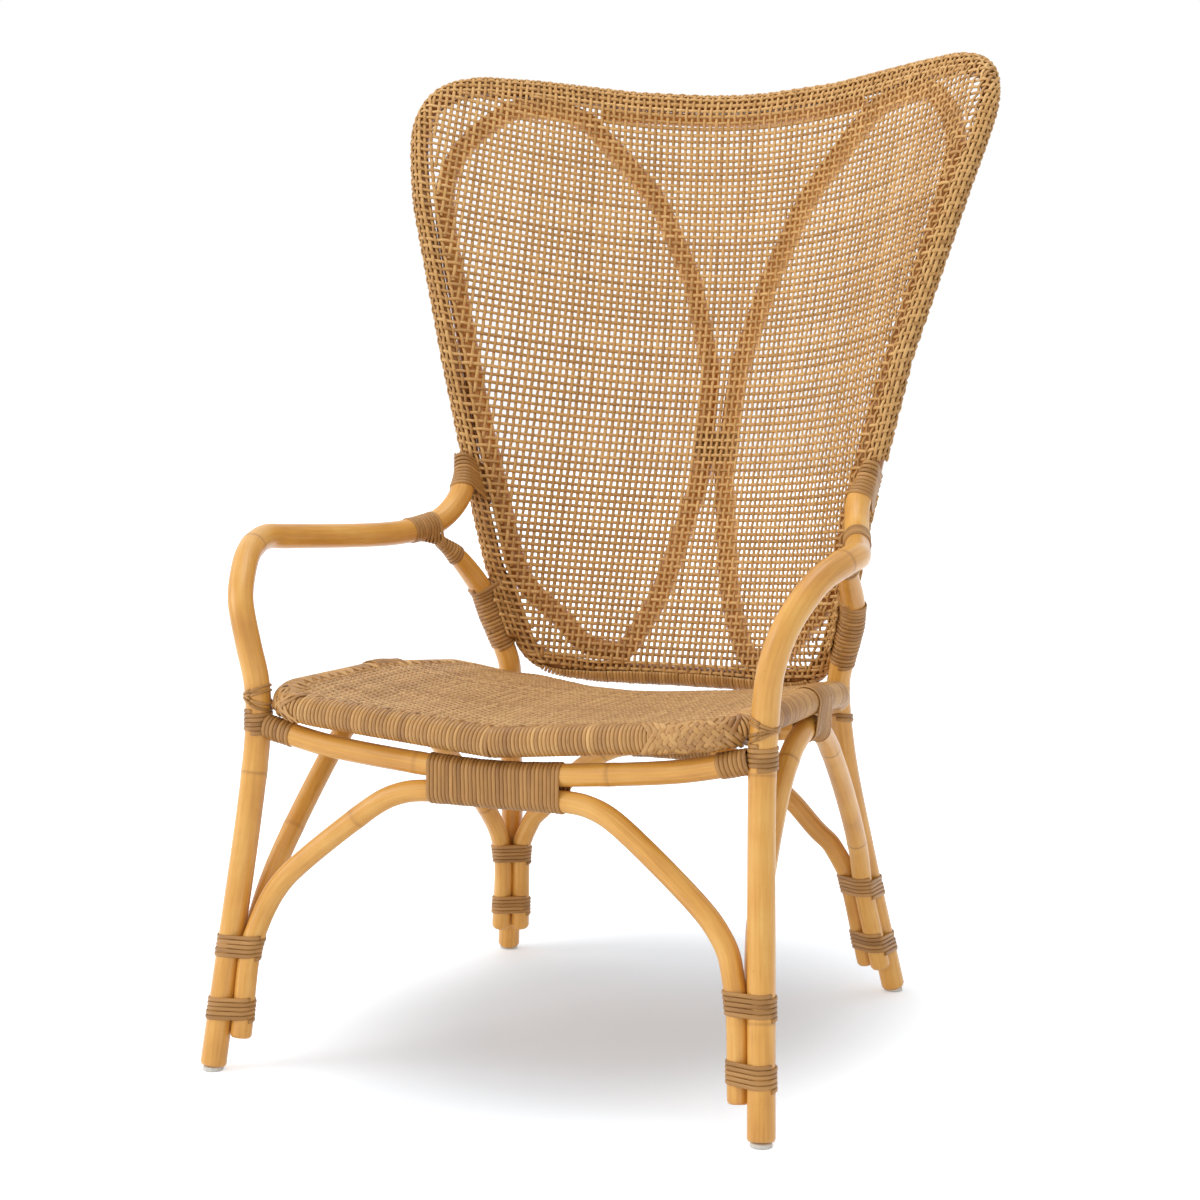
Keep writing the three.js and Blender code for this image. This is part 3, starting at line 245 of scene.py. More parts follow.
CORNER_TIE_WIDTH = 3.0 * MM
STRAP_LENGTH = 58 * MM
STRAP_PITCH = 5.2 * MM
STRAP_WIDTH = 0.86 * STRAP_PITCH
STRAP_LIFT = 0.6 * MM
STRAP_ROWS = 60
SEAT_COVER = 2.4 * MM
GLIDE_HEIGHTS = np.array([0, 0.12, 0.5, 0.85, 1.0])
GLIDE_SIZES = np.array([0.9, 1.0, 1.0, 0.97, 0.9])

rng = np.random.default_rng(11)

for left_over in list(bpy.data.objects):
    bpy.data.objects.remove(left_over)
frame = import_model()


# ---------------------------------------------------------------- lines and vectors

def unit(vectors):
    vectors = np.asarray(vectors, float)
    return vectors / np.maximum(np.linalg.norm(vectors, axis=-1, keepdims=True), 1e-12)


def square_to(vectors, axis):
    """The part of each vector that is square to its axis, at length one."""
    along = np.sum(vectors * axis, axis=-1, keepdims=True)
    return unit(vectors - along * axis)


def smoothstep(share):
    share = np.clip(share, 0, 1)
    return share * share * (3 - 2 * share)


def bump_at(distance, width):
    return np.exp(-(distance / width) ** 2)


def tangents(line, closed=False):
    if closed:
        return unit(np.roll(line, -1, 0) - np.roll(line, 1, 0))
    return unit(np.gradient(line, axis=0))


def lengths_along(line):
    steps = np.linalg.norm(np.diff(line[:, :3], axis=0), axis=1)
    return np.concatenate([[0], np.cumsum(steps)])


def evenly(line, step, closed=False):
    """The line resampled at a step that divides its length evenly."""
    length = lengths_along(line)
    count = max(int(round(length[-1] / step)), 2)
    stops = np.linspace(0, length[-1], count + 1)
    if closed:
        stops = stops[:-1]
    return np.stack([np.interp(stops, length, column) for column in line.T], 1)


def spline(points, step, closed=False):
    """A centripetal Catmull-Rom line through the points, resampled at an even step.

    Columns beyond the third, such as a radius, are carried along.
    """
    points = np.asarray(points, float)
    if closed:
        around = np.vstack([points[-1:], points, points[:2]])
    else:
        first = 2 * points[:1] - points[1:2]
        last = 2 * points[-1:] - points[-2:-1]
        around = np.vstack([first, points, last])
    gaps = np.sqrt(np.linalg.norm(np.diff(around[:, :3], axis=0), axis=1))
    t = np.linspace(0, 1, 12, endpoint=False)[:, None]
    fine = []
    for i in range(len(around) - 3):
        p0, p1, p2, p3 = around[i:i + 4]
        g0, g1, g2 = gaps[i:i + 3]
        m1 = (p2 - p1) + g1 * ((p1 - p0) / g0 - (p2 - p0) / (g0 + g1))
        m2 = (p2 - p1) + g1 * ((p3 - p2) / g2 - (p3 - p1) / (g1 + g2))
        fine.append((2 * t**3 - 3 * t**2 + 1) * p1 + (t**3 - 2 * t**2 + t) * m1
                    + (3 * t**2 - 2 * t**3) * p2 + (t**3 - t**2) * m2)
    fine = np.vstack(fine + [around[-2:-1] if not closed else points[:1]])
    return evenly(fine, step, closed)


def sampled(values, number):
    """Rows of a table at numbers that may lie between two rows."""
    rows = np.arange(len(values))
    return np.stack([np.interp(number, rows, column) for column in values.T], -1)


def with_radius(line, radius):
    return np.column_stack([line, np.full(len(line), radius)])


def upward(line):
    """A pole from its low end to its high one."""
    return line if line[0, 2] < line[-1, 2] else line[::-1]


def at_height(line, height):
    line = upward(line)
    return np.array([np.interp(height, line[:, 2], line[:, k]) for k in range(3)])


def nearest_row(line, place):
    return np.argmin(((line[:, :3] - place) ** 2).sum(1))


def nearest_points(flat, line):
    """For each flat place, the number of the nearest point of a line."""
    return np.concatenate([np.argmin(((part[:, None] - line[None]) ** 2).sum(-1), 1)
                           for part in np.array_split(flat, max(len(flat) // 2000, 1))])


def runs(keep):
    """Start and end of each unbroken run of true entries."""
    edges = np.flatnonzero(np.diff(np.concatenate([[0], keep.astype(int), [0]])))
    return [(a, b) for a, b in edges.reshape(-1, 2) if b - a > 3]


# ---------------------------------------------------------------- centre lines of the CAD

def box_middle(node):
    low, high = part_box(node)
    return np.array((low + high) / 2)


def welded(name):
    """Corner places and triangles of a CAD node, with corners at one place made one."""
    mesh = frame["nodes"][name].data
    flat = np.empty(len(mesh.vertices) * 3)
    mesh.vertices.foreach_get("co", flat)
    places = flat.reshape(-1, 3)
    corners = np.empty(len(mesh.loops), int)
    mesh.loops.foreach_get("vertex_index", corners)
    keys = np.round(places / (0.01 * MM)).astype(np.int64)
    _, first, number = np.unique(keys, axis=0, return_index=True, return_inverse=True)
    return places[first], number.reshape(-1)[corners].reshape(-1, 3)


def pole_line(name):
    """Ring centres and radii of an open CAD pole, from end cap to end cap, foot first."""
    places, triangles = welded(name)
    neighbours = [set() for _ in places]
    corner = places[triangles]
    normals = unit(np.cross(corner[:, 1] - corner[:, 0], corner[:, 2] - corner[:, 0]))
    fans = {}
    for triangle, normal in zip(triangles, np.round(normals, 2)):
        for vertex in triangle:
            neighbours[vertex].update(triangle)
            fans.setdefault((vertex, *normal), set()).update(triangle)
    ring = max(fans.values(), key=len)
    rings, seen = [sorted(ring)], set(ring)
    while ring := set().union(*(neighbours[v] for v in rings[-1])) - seen:
        rings.append(sorted(ring))
        seen |= ring
    centres = np.array([places[ring].mean(0) for ring in rings])
    radii = [np.linalg.norm(places[ring] - centre, axis=1).mean()
             for ring, centre in zip(rings, centres)]
    line = np.column_stack([centres, radii])
    return line if line[0, 2] <= line[-1, 2] + 1e-6 else line[::-1]


def loop_line(name, centre, axes, count):
    """Centre line of a closed CAD pole, cut by half planes that turn round a centre."""
    places, triangles = welded(name)
    edges = np.unique(np.sort(np.vstack([triangles[:, [0, 1]], triangles[:, [1, 2]],
                                         triangles[:, [2, 0]]]), axis=1), axis=0)
    starts, ends = places[edges[:, 0]] - centre, places[edges[:, 1]] - centre
    third = 3 - sum(axes)
    line = []
    for angle in np.arange(count) / count * TURN:
        out, side = np.zeros(3), np.zeros(3)
        out[list(axes)] = math.cos(angle), math.sin(angle)
        side[list(axes)] = -math.sin(angle), math.cos(angle)
        low, high = starts @ side, ends @ side
        crosses = (low < 0) != (high < 0)
        share = (low[crosses] / (low[crosses] - high[crosses]))[:, None]
        cut = starts[crosses] + (ends[crosses] - starts[crosses]) * share
        cut = cut[cut @ out > 0]
        reach = cut @ out
        place = out * (reach.min() + reach.max()) / 2
        place[third] = (cut[:, third].min() + cut[:, third].max()) / 2
        line.append(centre + place)
    return np.array(line)


lines = {name: spline(pole_line(name), POLE_STEP) for name in OPEN_POLES}


# ---------------------------------------------------------------- mesh making

class Strands:
    """Collects swept strips and tubes into one mesh, with notes for the materials.

    Each corner keeps its distance along (x), its place round the section (y), a tint (z)
    and a mark.
    """

    def __init__(self):
        self.places, self.notes, self.marks, self.faces, self.count = [], [], [], [], 0

    def sweep(self, line, normal, profile, tint=0.0, closed=False, mark=0.0, scale=1.0):
        """Sweeps a profile of (across, up) places along a line."""
        line = np.asarray(line, float)[:, :3]
        tangent = tangents(line, closed)
        normal = square_to(np.broadcast_to(normal, line.shape), tangent)
        across = np.cross(tangent, normal)
        n, k = len(line), len(profile)
        size = np.broadcast_to(scale, n)[:, None, None]
        rings = (line[:, None] + across[:, None] * (profile[None, :, :1] * size)
                 + normal[:, None] * (profile[None, :, 1:] * size))
        notes = np.empty((n, k, 3))
        notes[..., 0] = lengths_along(line)[:, None]
        notes[..., 1] = np.arange(k) / k
        notes[..., 2] = np.reshape(tint, (-1, 1))
        self.places.append(rings.reshape(-1, 3))
        self.notes.append(notes.reshape(-1, 3))
        self.marks.append(np.broadcast_to(np.reshape(mark, (-1, 1)), (n, k)).ravel())
        start = self.count
        ring = np.arange(n if closed else n - 1)[:, None]
        here, ahead = ring * k + start, (ring + 1) % n * k + start
        corner = np.arange(k)
        over = (corner + 1) % k
        quads = np.stack([here + corner, here + over, ahead + over, ahead + corner], -1)
        self.faces.extend(quads.reshape(-1, 4).tolist())
        if not closed:
            last = start + (n - 1) * k
            self.faces.append(list(range(start + k - 1, start - 1, -1)))
            self.faces.append(list(range(last, last + k)))
        self.count += n * k

    def piece(self, name, material, *replaced, slot):
        mesh = bpy.data.meshes.new(name)
        mesh.from_pydata(np.vstack(self.places).tolist(), [], self.faces)
        mesh.attributes.new("strand", "FLOAT_VECTOR", "POINT").data.foreach_set(
            "vector", np.vstack(self.notes).astype(np.float32).ravel())
        mesh.attributes.new("mark", "FLOAT", "POINT").data.foreach_set(
            "value", np.concatenate(self.marks).astype(np.float32))
        mesh.polygons.foreach_set("use_smooth", np.ones(len(mesh.polygons), bool))
        mesh.materials.append(material)
        piece = bpy.data.objects.new(name, mesh)
        bpy.context.scene.collection.objects.link(piece)
        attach(piece, "root")
        if replaced:
            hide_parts(*replaced)


def round_profile(sides, width, height):
    angle = -np.arange(sides) / sides * TURN
    return np.stack([np.cos(angle) * width / 2, np.sin(angle) * height / 2], 1)


def strip_profile(width, thickness):
    """A split strip: flat underneath, crowned on top."""
    half = width / 2
    shape = [(half, 0), (half * 0.96, 0.5), (half * 0.6, 0.88), (0, 1), (-half * 0.6, 0.88),
             (-half * 0.96, 0.5), (-half, 0)]
    return np.array([(a, b * thickness) for a, b in shape])[::-1]


def carried_normals(line, closed):
    """Normals that turn as little as they can along a line."""
    tangent = tangents(line[:, :3], closed)
    seed = ACROSS if abs(tangent[0, 0]) < 0.9 else UP
    normals = [unit(seed - tangent[0] * (seed @ tangent[0]))]
    for t in tangent[1:]:
        normals.append(unit(normals[-1] - t * (normals[-1] @ t)))
    normals = np.array(normals)
    if closed:
        other = np.cross(tangent[0], normals[0])
        gap = math.atan2(normals[-1] @ other, normals[-1] @ normals[0])
        turn = -gap * np.arange(len(line)) / len(line)
        side = np.cross(tangent, normals)
        normals = normals * np.cos(turn)[:, None] + side * np.sin(turn)[:, None]
    return normals


def make_pole(name, material, line, *replaced, closed=False):
    """One pole with its growth rings; line holds centres and radii."""
    along = lengths_along(line)
    radius = line[:, 3].copy()
    mark = np.zeros(len(line))
    stops = [rng.uniform(*JOINT_SPACING) * JOINT_FIRST]
    while stops[-1] < along[-1] - JOINT_CLEAR:
        stops.append(stops[-1] + rng.uniform(*JOINT_SPACING))
    for stop in stops[:-1]:
        skew = rng.uniform(*JOINT_SKEW)
        away = along - stop
        radius *= 1 + JOINT_SWELL * skew * bump_at(away, JOINT_WIDTH)
        radius *= 1 - GROOVE_DEPTH * skew * bump_at(away, GROOVE_WIDTH)
        mark += bump_at(away, GROOVE_WIDTH * GROOVE_MARK) * skew
    radius *= 1 + POLE_WANDER * np.sin(along / POLE_WANDER_LENGTH + rng.uniform(0, TURN))
    if not closed:
        for away in (along, along[-1] - along):
            edge = np.clip(1 - away / END_ROUND, 0, 1)
            radius -= END_ROUND * (1 - np.sqrt(np.clip(1 - edge**2, 0, 1)))
    strands = Strands()
    strands.sweep(line, carried_normals(line, closed), round_profile(POLE_SIDES, 2, 2),
                  tint=rng.uniform(), closed=closed, mark=np.clip(mark, 0, 1), scale=radius)
    strands.piece(name, material, *replaced, slot="rattan_pole")


# ---------------------------------------------------------------- materials

def shade(colour):
    """A colour given as it shows on screen, from 0 to 255, as linear light."""
    return tuple(((c / 255 + 0.055) / 1.055) ** 2.4 for c in colour) + (1.0,)


class Nodes:
    """Short hand for building a tree of shader nodes."""

    def __init__(self, owner, out="ShaderNodeOutputMaterial"):
        owner.use_nodes = True
        self.owner, self.tree = owner, owner.node_tree
        self.tree.nodes.clear()
        self.out = self.add(out)

    def add(self, kind, sockets=None, **settings):
        """A node with these settings, and a link or a value for each named socket."""
        node = self.tree.nodes.new(kind)
        for key, value in settings.items():
            setattr(node, key, value)
        for key, value in (sockets or {}).items():
            if isinstance(value, bpy.types.NodeSocket):
                self.tree.links.new(value, node.inputs[key])
            else:
                node.inputs[key].default_value = value
        return node

    def show(self, shader):
        self.tree.links.new(shader, self.out.inputs[0])
        return self.owner

    def math(self, operation, *values, clamp=False):
        return self.add("ShaderNodeMath", dict(enumerate(values)), operation=operation,
                        use_clamp=clamp).outputs[0]

    def times(self, first, second, clamp=False):
        return self.math("MULTIPLY", first, second, clamp=clamp)

    def plus(self, first, second):
        return self.math("ADD", first, second)

    def beyond(self, value, limit, gain):
        """How far a value passes a limit, times a gain, from 0 to 1."""
        return self.times(self.math("SUBTRACT", value, limit, clamp=True), gain, clamp=True)

    def strand(self):
        """Distance along, place round and tint, as three sockets."""
        note = self.add("ShaderNodeAttribute", attribute_name="strand").outputs["Vector"]
        return self.add("ShaderNodeSeparateXYZ", {0: note}).outputs[:3]

    def mark(self):
        return self.add("ShaderNodeAttribute", attribute_name="mark").outputs["Fac"]

    def noise(self, vector, scale, detail, roughness):
        return self.add("ShaderNodeTexNoise", {"Vector": vector, "Scale": scale, "Detail": detail,
                                               "Roughness": roughness}).outputs["Fac"]

    def vector(self, *parts):
        return self.add("ShaderNodeCombineXYZ", dict(enumerate(parts))).outputs[0]

    def ramp(self, factor, *stops):
        node = self.add("ShaderNodeValToRGB", {0: factor})
        elements = node.color_ramp.elements
        while len(elements) < len(stops):
            elements.new(0.5)
        for element, (place, colour) in zip(elements, stops):
            element.position = place
            element.color = shade(colour)
        return node.outputs[0]

    def stain(self, colour, amount, over):
        """A colour with another laid over it."""
        return self.add("ShaderNodeMix", {"Factor": amount, 6: colour, 7: shade(over)},
                        data_type="RGBA").outputs[2]

    def surface(self, height, distance, strength, sockets):
        """The finished material: a principled shader over a bump."""
        bump = self.add("ShaderNodeBump", {"Height": height, "Distance": distance,
                                           "Strength": strength})
        sockets["Normal"] = bump.outputs[0]
        return self.show(self.add("ShaderNodeBsdfPrincipled", sockets).outputs[0])

    def when_seen(self, unseen, seen):
        """One shader for the light on the chair, another for what the camera is shown."""
        path = self.add("ShaderNodeLightPath").outputs
        mirrored = self.math("MAXIMUM", path["Is Glossy Ray"], path["Is Transmission Ray"])
        rays = self.math("MAXIMUM", path["Is Camera Ray"], mirrored)
        self.show(self.add("ShaderNodeMixShader", {0: rays, 1: unseen.outputs[0],
                                                   2: seen.outputs[0]}).outputs[0])


def pole_material(name, light, middle, dark, groove, coat=0.3):
    """Lacquered pole: long streaks, cloudy patches, dark growth rings and small scuffs."""
    n = Nodes(bpy.data.materials.new(name))
    along, place_round, tint = n.strand()
    around = n.times(place_round, TURN)
    ring = [n.times(n.math(turned, around), 0.014) for turned in ("COSINE", "SINE")]
    seed = n.times(tint, 9.0)

    def grain(stretch, *look):
        return n.noise(n.vector(n.plus(n.times(along, stretch), seed), *ring), *look)

    streaks = grain(0.05, 260, 5, 0.6)
    patches = grain(1.0, 14, 3, 0.5)
    specks = grain(0.4, 420, 2, 0.5)
    mixed = n.plus(n.times(streaks, 0.45), n.times(patches, 0.55))
    colour = n.ramp(mixed, (0.3, dark), (0.5, middle), (0.7, light))
    colour = n.stain(colour, n.beyond(specks, 0.7, 4.0), groove)
    colour = n.stain(colour, n.times(n.mark(), 0.55), groove)
    height = n.plus(n.times(streaks, 0.6), n.times(n.mark(), -1.0))
    return n.surface(height, 0.0004, 0.35, {
        "Base Color": colour, "Roughness": n.plus(n.times(patches, 0.22), 0.27),
        "Coat Weight": coat, "Coat Roughness": 0.24, "Specular IOR Level": 0.5})


def strand_material(name, light, middle, dark, fleck, rough=0.5, fleck_from=0.68, spread=1.0):
    """Peel or core strand: fibres along it, its own tint, dark flecks where skin is left."""
    n = Nodes(bpy.data.materials.new(name))
    along, place_round, tint = n.strand()
    seed = n.times(tint, 37.0)

    def grain(stretch, second, third, *look):
        return n.noise(n.vector(n.times(along, stretch), second, third), *look)

    fibre = grain(14.0, n.times(place_round, 9.0), seed, 3.0, 4, 0.6)
    slow = grain(9.0, seed, 0.0, 1.7, 2, 0.5)
    flecks = grain(60.0, n.times(place_round, 3.0), seed, 2.6, 2, 0.5)
    own = n.times(n.math("SUBTRACT", tint, 0.5), 0.45 * spread)
    mixed = n.plus(n.plus(n.times(fibre, 0.4), n.times(slow, 0.6)), own)
    colour = n.ramp(mixed, (0.24, dark), (0.5, middle), (0.78, light))
    colour = n.stain(colour, n.beyond(flecks, fleck_from, 9.0), fleck)
    return n.surface(fibre, 0.0003, 0.5, {
        "Base Color": colour, "Roughness": n.plus(n.times(fibre, 0.25), rough - 0.12),
        "Coat Weight": 0.12, "Coat Roughness": 0.3, "Specular IOR Level": 0.45})


def pad_material():
    """Pale moulded glide with a faint mottle."""
    n = Nodes(bpy.data.materials.new("glide"))
    mottle = n.noise(n.add("ShaderNodeTexCoord").outputs["Object"], 300, 4, 0.6)
    colour = n.ramp(mottle, (0.3, (196, 194, 186)), (0.7, (222, 220, 214)))
    return n.surface(mottle, 0.0003, 0.3, {
        "Base Color": colour, "Roughness": n.plus(n.times(mottle, 0.2), 0.35)})


honey = pole_material("lacquered_pole", (232, 182, 98), (217, 157, 68), (192, 130, 46),
                      (140, 84, 30))
# The frame pole under the net gets darker, browner colours than the bare poles: painted shade,
# standing for the shadow seen between the net's strands.
shadow_pole = pole_material("frame_pole_painted_shade", (176, 118, 60), (150, 96, 46), (120, 74, 34),
                            (80, 46, 20), coat=0.0)
loop_pole = pole_material("loop_pole", (230, 164, 84), (216, 144, 66), (194, 122, 50),
                          (150, 90, 36), coat=0.15)
net_strand = strand_material("net_strand", (218, 174, 110), (196, 148, 84), (168, 122, 64),
                             (110, 74, 38), spread=0.8)
seat_strand = strand_material("seat_strand", (214, 172, 116), (190, 146, 92), (158, 114, 66),
                              (84, 56, 32), fleck_from=0.64, spread=0.8)
edge_strand = strand_material("edge_strand", (218, 174, 110), (194, 146, 84), (150, 104, 56),
                              (104, 68, 38), rough=0.34, spread=1.5)
peel = strand_material("binding_peel", (196, 146, 84), (170, 122, 62), (138, 94, 44),
                       (98, 62, 32), rough=0.42, spread=0.55)
glide = pad_material()


# ---------------------------------------------------------------- hollow back surface

class BackSurface:
    """The hollow sheet y = spine(z) - hollow(z) x^2, fitted to the frame and the loops."""

    ORDER = 6
    TAME = 1.04
    BEYOND = 1.25

    def __init__(self, places):
        self.middle = places[:, 2].mean()
        self.half = (places[:, 2].max() - places[:, 2].min()) / 2
        powers = self.powers(places[:, 2])
        system = np.hstack([powers, -powers * places[:, :1] ** 2])
        answer, *_ = np.linalg.lstsq(system, places[:, 1], rcond=None)
        self.spine = answer[:self.ORDER + 1]
        self.hollow = answer[self.ORDER + 1:]
        self.miss = np.abs(system @ answer - places[:, 1]).max()
        self.heights = np.linspace(self.middle - self.half * self.BEYOND,
                                   self.middle + self.half * self.BEYOND, 800)
        slope = self.slopes(self.heights) @ self.spine
        step = np.sqrt(1 + slope**2) * np.gradient(self.heights)
        self.rise = np.cumsum(step) - step[0]

    def powers(self, z):
        # Beyond the fitted heights the sheet goes on straight, so it stays tame.
        share = np.clip((z - self.middle) / self.half, -self.TAME, self.TAME)
        return np.stack([share**k for k in range(self.ORDER + 1)], -1)

    def slopes(self, z):
        raw = (z - self.middle) / self.half
        share = np.clip(raw, -self.TAME, self.TAME)
        inside = (np.abs(raw) < self.TAME)[..., None]
        return inside * np.stack([k * share ** max(k - 1, 0) / self.half
                                  for k in range(self.ORDER + 1)], -1)

    def place(self, x, z):
        powers = self.powers(z)
        return np.stack([x, powers @ self.spine - (powers @ self.hollow) * x**2, z], -1)

    def facing(self, x, z):
        """Direction towards the sitter."""
        sideways = -2 * x * (self.powers(z) @ self.hollow)
        rising = self.slopes(z) @ self.spine - (self.slopes(z) @ self.hollow) * x**2
        return unit(np.stack([sideways, -np.ones_like(sideways), rising], -1))

    def bend(self, z):
        return 2 * np.maximum(self.powers(z) @ self.hollow, 1e-6)

    @staticmethod
    def arc(x, c):
        return x / 2 * np.sqrt(1 + (c * x) ** 2) + np.arcsinh(c * x) / (2 * c)

    def flat(self, x, z):
        """The sheet unrolled: arc from the middle, and arc up the spine."""
        return np.stack([self.arc(x, self.bend(z)), np.interp(z, self.heights, self.rise)], -1)

    def across(self, arc, z):
        """The x whose arc from the middle this is, at a height."""
        c = self.bend(z)
        x = arc.copy()
        for _ in range(6):
            x = x - (self.arc(x, c) - arc) / np.sqrt(1 + (c * x) ** 2)
        return x

    def unroll(self, flat):
        """The x and z whose flat place this is."""
        z = np.interp(flat[..., 1], self.rise, self.heights)
        return self.across(flat[..., 0], z), z


back_low, back_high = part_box("back_frame")
back_middle = np.array([0.0, 0.0, back_low.z + (back_high.z - back_low.z) * FRAME_MIDDLE])
frame_line = loop_line("back_frame", back_middle, (0, 2), FRAME_CUTS)
traced_loops = {side: loop_line(f"back_loop_{side}", box_middle(f"back_loop_{side}"), (0, 2),
                                LOOP_CUTS) for side, _ in SIDES}
surface = BackSurface(np.vstack([frame_line, traced_loops["right"], traced_loops["left"]]))
outline = spline(frame_line, 2 * MM, closed=True)
outline_along = tangents(outline, True)
outline_facing = square_to(surface.facing(outline[:, 0], outline[:, 2]), outline_along)
outline_inboard = np.cross(outline_facing, outline_along)
if np.sum(outline_inboard * (back_middle - outline) * [1, 0, 1]) < 0:
    outline_inboard = -outline_inboard


def beside_frame(line):
    """A back loop drawn up to the frame where it runs along it, as in the photograph."""
    away = outline[None] - line[:, None, :3]
    gap = np.linalg.norm(away, axis=2)
    nearest = np.argmin(gap, 1)
    gap = gap.min(1)
    push = np.clip(gap - INNER_FRAME_RADIUS - LOOP_RADIUS - LOOP_ROOM, 0, LOOP_DRAW)
    push *= smoothstep((LOOP_DRAW_REACH - gap) / LOOP_DRAW_BLEND)
    moved = line.copy()
    moved[:, :3] += unit(away[np.arange(len(line)), nearest]) * push[:, None]
    return moved


back_loops = {side: spline(beside_frame(line), POLE_STEP, True)
              for side, line in traced_loops.items()}


def make_back_poles():
    frame_pole_painted_shade = with_radius(spline(frame_line, POLE_STEP, True), INNER_FRAME_RADIUS)
    # The frame pole takes the painted-shade colours of shadow_pole.
    make_pole("pole_back_frame", shadow_pole, frame_pole_painted_shade, "back_frame", closed=True)
    for side, line in back_loops.items():
        make_pole(f"pole_back_loop_{side}", loop_pole, with_radius(line, LOOP_RADIUS),
                  f"back_loop_{side}", closed=True)


def make_top_rail():
    """The thin rail that runs behind the net under the top of the frame, loop to loop."""
    guide = guides["top"]
    x, z = surface.unroll(guide.line + guide.inward * TOP_RAIL_INSIDE)
    line = surface.place(x, z)
    loops = np.vstack(list(back_loops.values()))
    room = np.array([np.linalg.norm(loops - place, axis=1).min() for place in line])
    free = runs(room > LOOP_RADIUS + TOP_RAIL_RADIUS)
    a, b = next((a, b) for a, b in free if x[a] < 0 < x[b - 1])
    make_pole("pole_top_rail", loop_pole, with_radius(line[a:b], TOP_RAIL_RADIUS))


# ---------------------------------------------------------------- net of the back

def open_to_net(places, inside, nearest):
    """True where the net may lie: not under the bottom rail's wraps or the bindings."""
    by_rail = (np.abs(outline[nearest][..., 0]) < RAIL_WRAP_HALF) \
        & (outline[nearest][..., 2] < back_middle[2])
    keep = (inside > -NET_WRAP) & ~(by_rail & (inside < RAIL_WRAP_FROM))
    height = places[..., 2]
    for name, limit in (("arm_end_binding_right", BOUND_FROM),
                        ("frame_leg_binding_right", -LEG_COVER)):
        low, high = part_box(name)
        loose = limit + BOUND_WAVE * np.sin(height / BOUND_WAVE_LENGTH)
        keep &= ~((height > low.z) & (height < high.z) & (inside < loose))
    return keep


class FlatLine:
    """A line on the unrolled sheet, and the direction from it towards a middle."""

    def __init__(self, line, middle, closed=False):
        self.line, self.along = line, tangents(line, closed)
        self.inward = np.stack([-self.along[:, 1], self.along[:, 0]], -1)
        if np.sum(self.inward * (middle - line)) < 0:
            self.inward = -self.inward

    def beside(self, flat):
        """Nearest point of the line, distance inside it and slip along it, for each place."""
        points = flat.reshape(-1, 2)
        nearest = nearest_points(points, self.line)
        away = points - self.line[nearest]
        return [values.reshape(flat.shape[:-1]) for values in
                (nearest, (away * self.inward[nearest]).sum(-1),
                 (away * self.along[nearest]).sum(-1))]


class FrameRoll(FlatLine):
    """Lays flat places of the net on the panel, or round the frame pole beyond its edge."""

    def __init__(self):
        super().__init__(surface.flat(outline[:, 0], outline[:, 2]),
                         surface.flat(back_middle[:1], back_middle[2:]), closed=True)
        self.leg_away = np.full(len(outline), LEG_AWAY)
        self.leg_rise = np.full(len(outline), NET_ON_FRAME)
        self.leg_weight = np.zeros(len(outline))
        for side, sign in SIDES:
            self.note_leg(side, sign)

    def note_leg(self, side, sign):
        """How far outboard and forward a bound leg lies from the frame beside it."""
        low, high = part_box(f"frame_leg_binding_{side}")
        leg = lines[f"rear_leg_{side}"]
        for k in np.flatnonzero((outline[:, 0] * sign > LEG_OUTBOARD) & (outline[:, 2] > low.z)
                                & (outline[:, 2] < high.z)):
            offset = at_height(leg, outline[k, 2]) - outline[k]
            self.leg_away[k] = max(-offset @ outline_inboard[k], LEG_AWAY_LEAST)
            radius = upward(leg)[0, 3]
            self.leg_rise[k] = max(offset @ outline_facing[k] + radius + LEG_COVER_LIFT,
                                   NET_ON_FRAME)
            ends = min(outline[k, 2] - low.z - LEG_COVER_START, high.z - outline[k, 2])
            self.leg_weight[k] = smoothstep(ends / LEG_COVER_BLEND)

    def lay(self, x, z):
        """Places, outward normals, and whether the net is open to be seen there."""
        shape = x.shape
        x, z = x.ravel(), z.ravel()
        nearest, inside, slip = self.beside(surface.flat(x, z))
        facing, front = surface.facing(x, z), outline_facing[nearest]
        inboard = outline_inboard[nearest]
        rise = NET_ON_FRAME + (NET_ON_PANEL - NET_ON_FRAME) * smoothstep(inside / PANEL_INSET)
        sheet = surface.place(x, z) + facing * rise[:, None]
        centre = outline[nearest] + outline_along[nearest] * np.clip(slip, -SLIP, SLIP)[:, None]
        spread = np.maximum(-inside, 0)
        angle = spread / NET_ON_FRAME
        out = front * np.cos(angle)[:, None] - inboard * np.sin(angle)[:, None]
        rise = NET_ON_FRAME + (self.leg_rise[nearest] - NET_ON_FRAME) \
            * np.minimum(spread / self.leg_away[nearest], 1)
        laid = centre + front * rise[:, None] - inboard * spread[:, None]
        weight = self.leg_weight[nearest][:, None]
        rolled = (centre + out * NET_ON_FRAME) * (1 - weight) + laid * weight
        out = unit(out * (1 - weight) + front * weight)
        beyond = (inside < 0)[:, None]
        places, normals = np.where(beyond, rolled, sheet), np.where(beyond, out, facing)
        return (places.reshape(*shape, 3), normals.reshape(*shape, 3),
                open_to_net(places, inside, nearest).reshape(shape))


roll = FrameRoll()


class Guide(FlatLine):
    """One side of the outline, unrolled and carried on straight past the corners."""

    def __init__(self, chosen, axis):
        line = roll.line[chosen]
        line = line[np.argsort(line[:, axis])]
        first, last = unit(line[0] - line[8]), unit(line[-1] - line[-9])
        steps = np.arange(GUIDE_STEP, GUIDE_BEYOND, GUIDE_STEP)[:, None]
        line = np.vstack([(line[0] + first * steps)[::-1], line, line[-1] + last * steps])
        super().__init__(evenly(line, GUIDE_STEP), np.array([0, roll.line[:, 1].mean()]))

    def inside(self, flat):
        return self.beside(flat)[1]


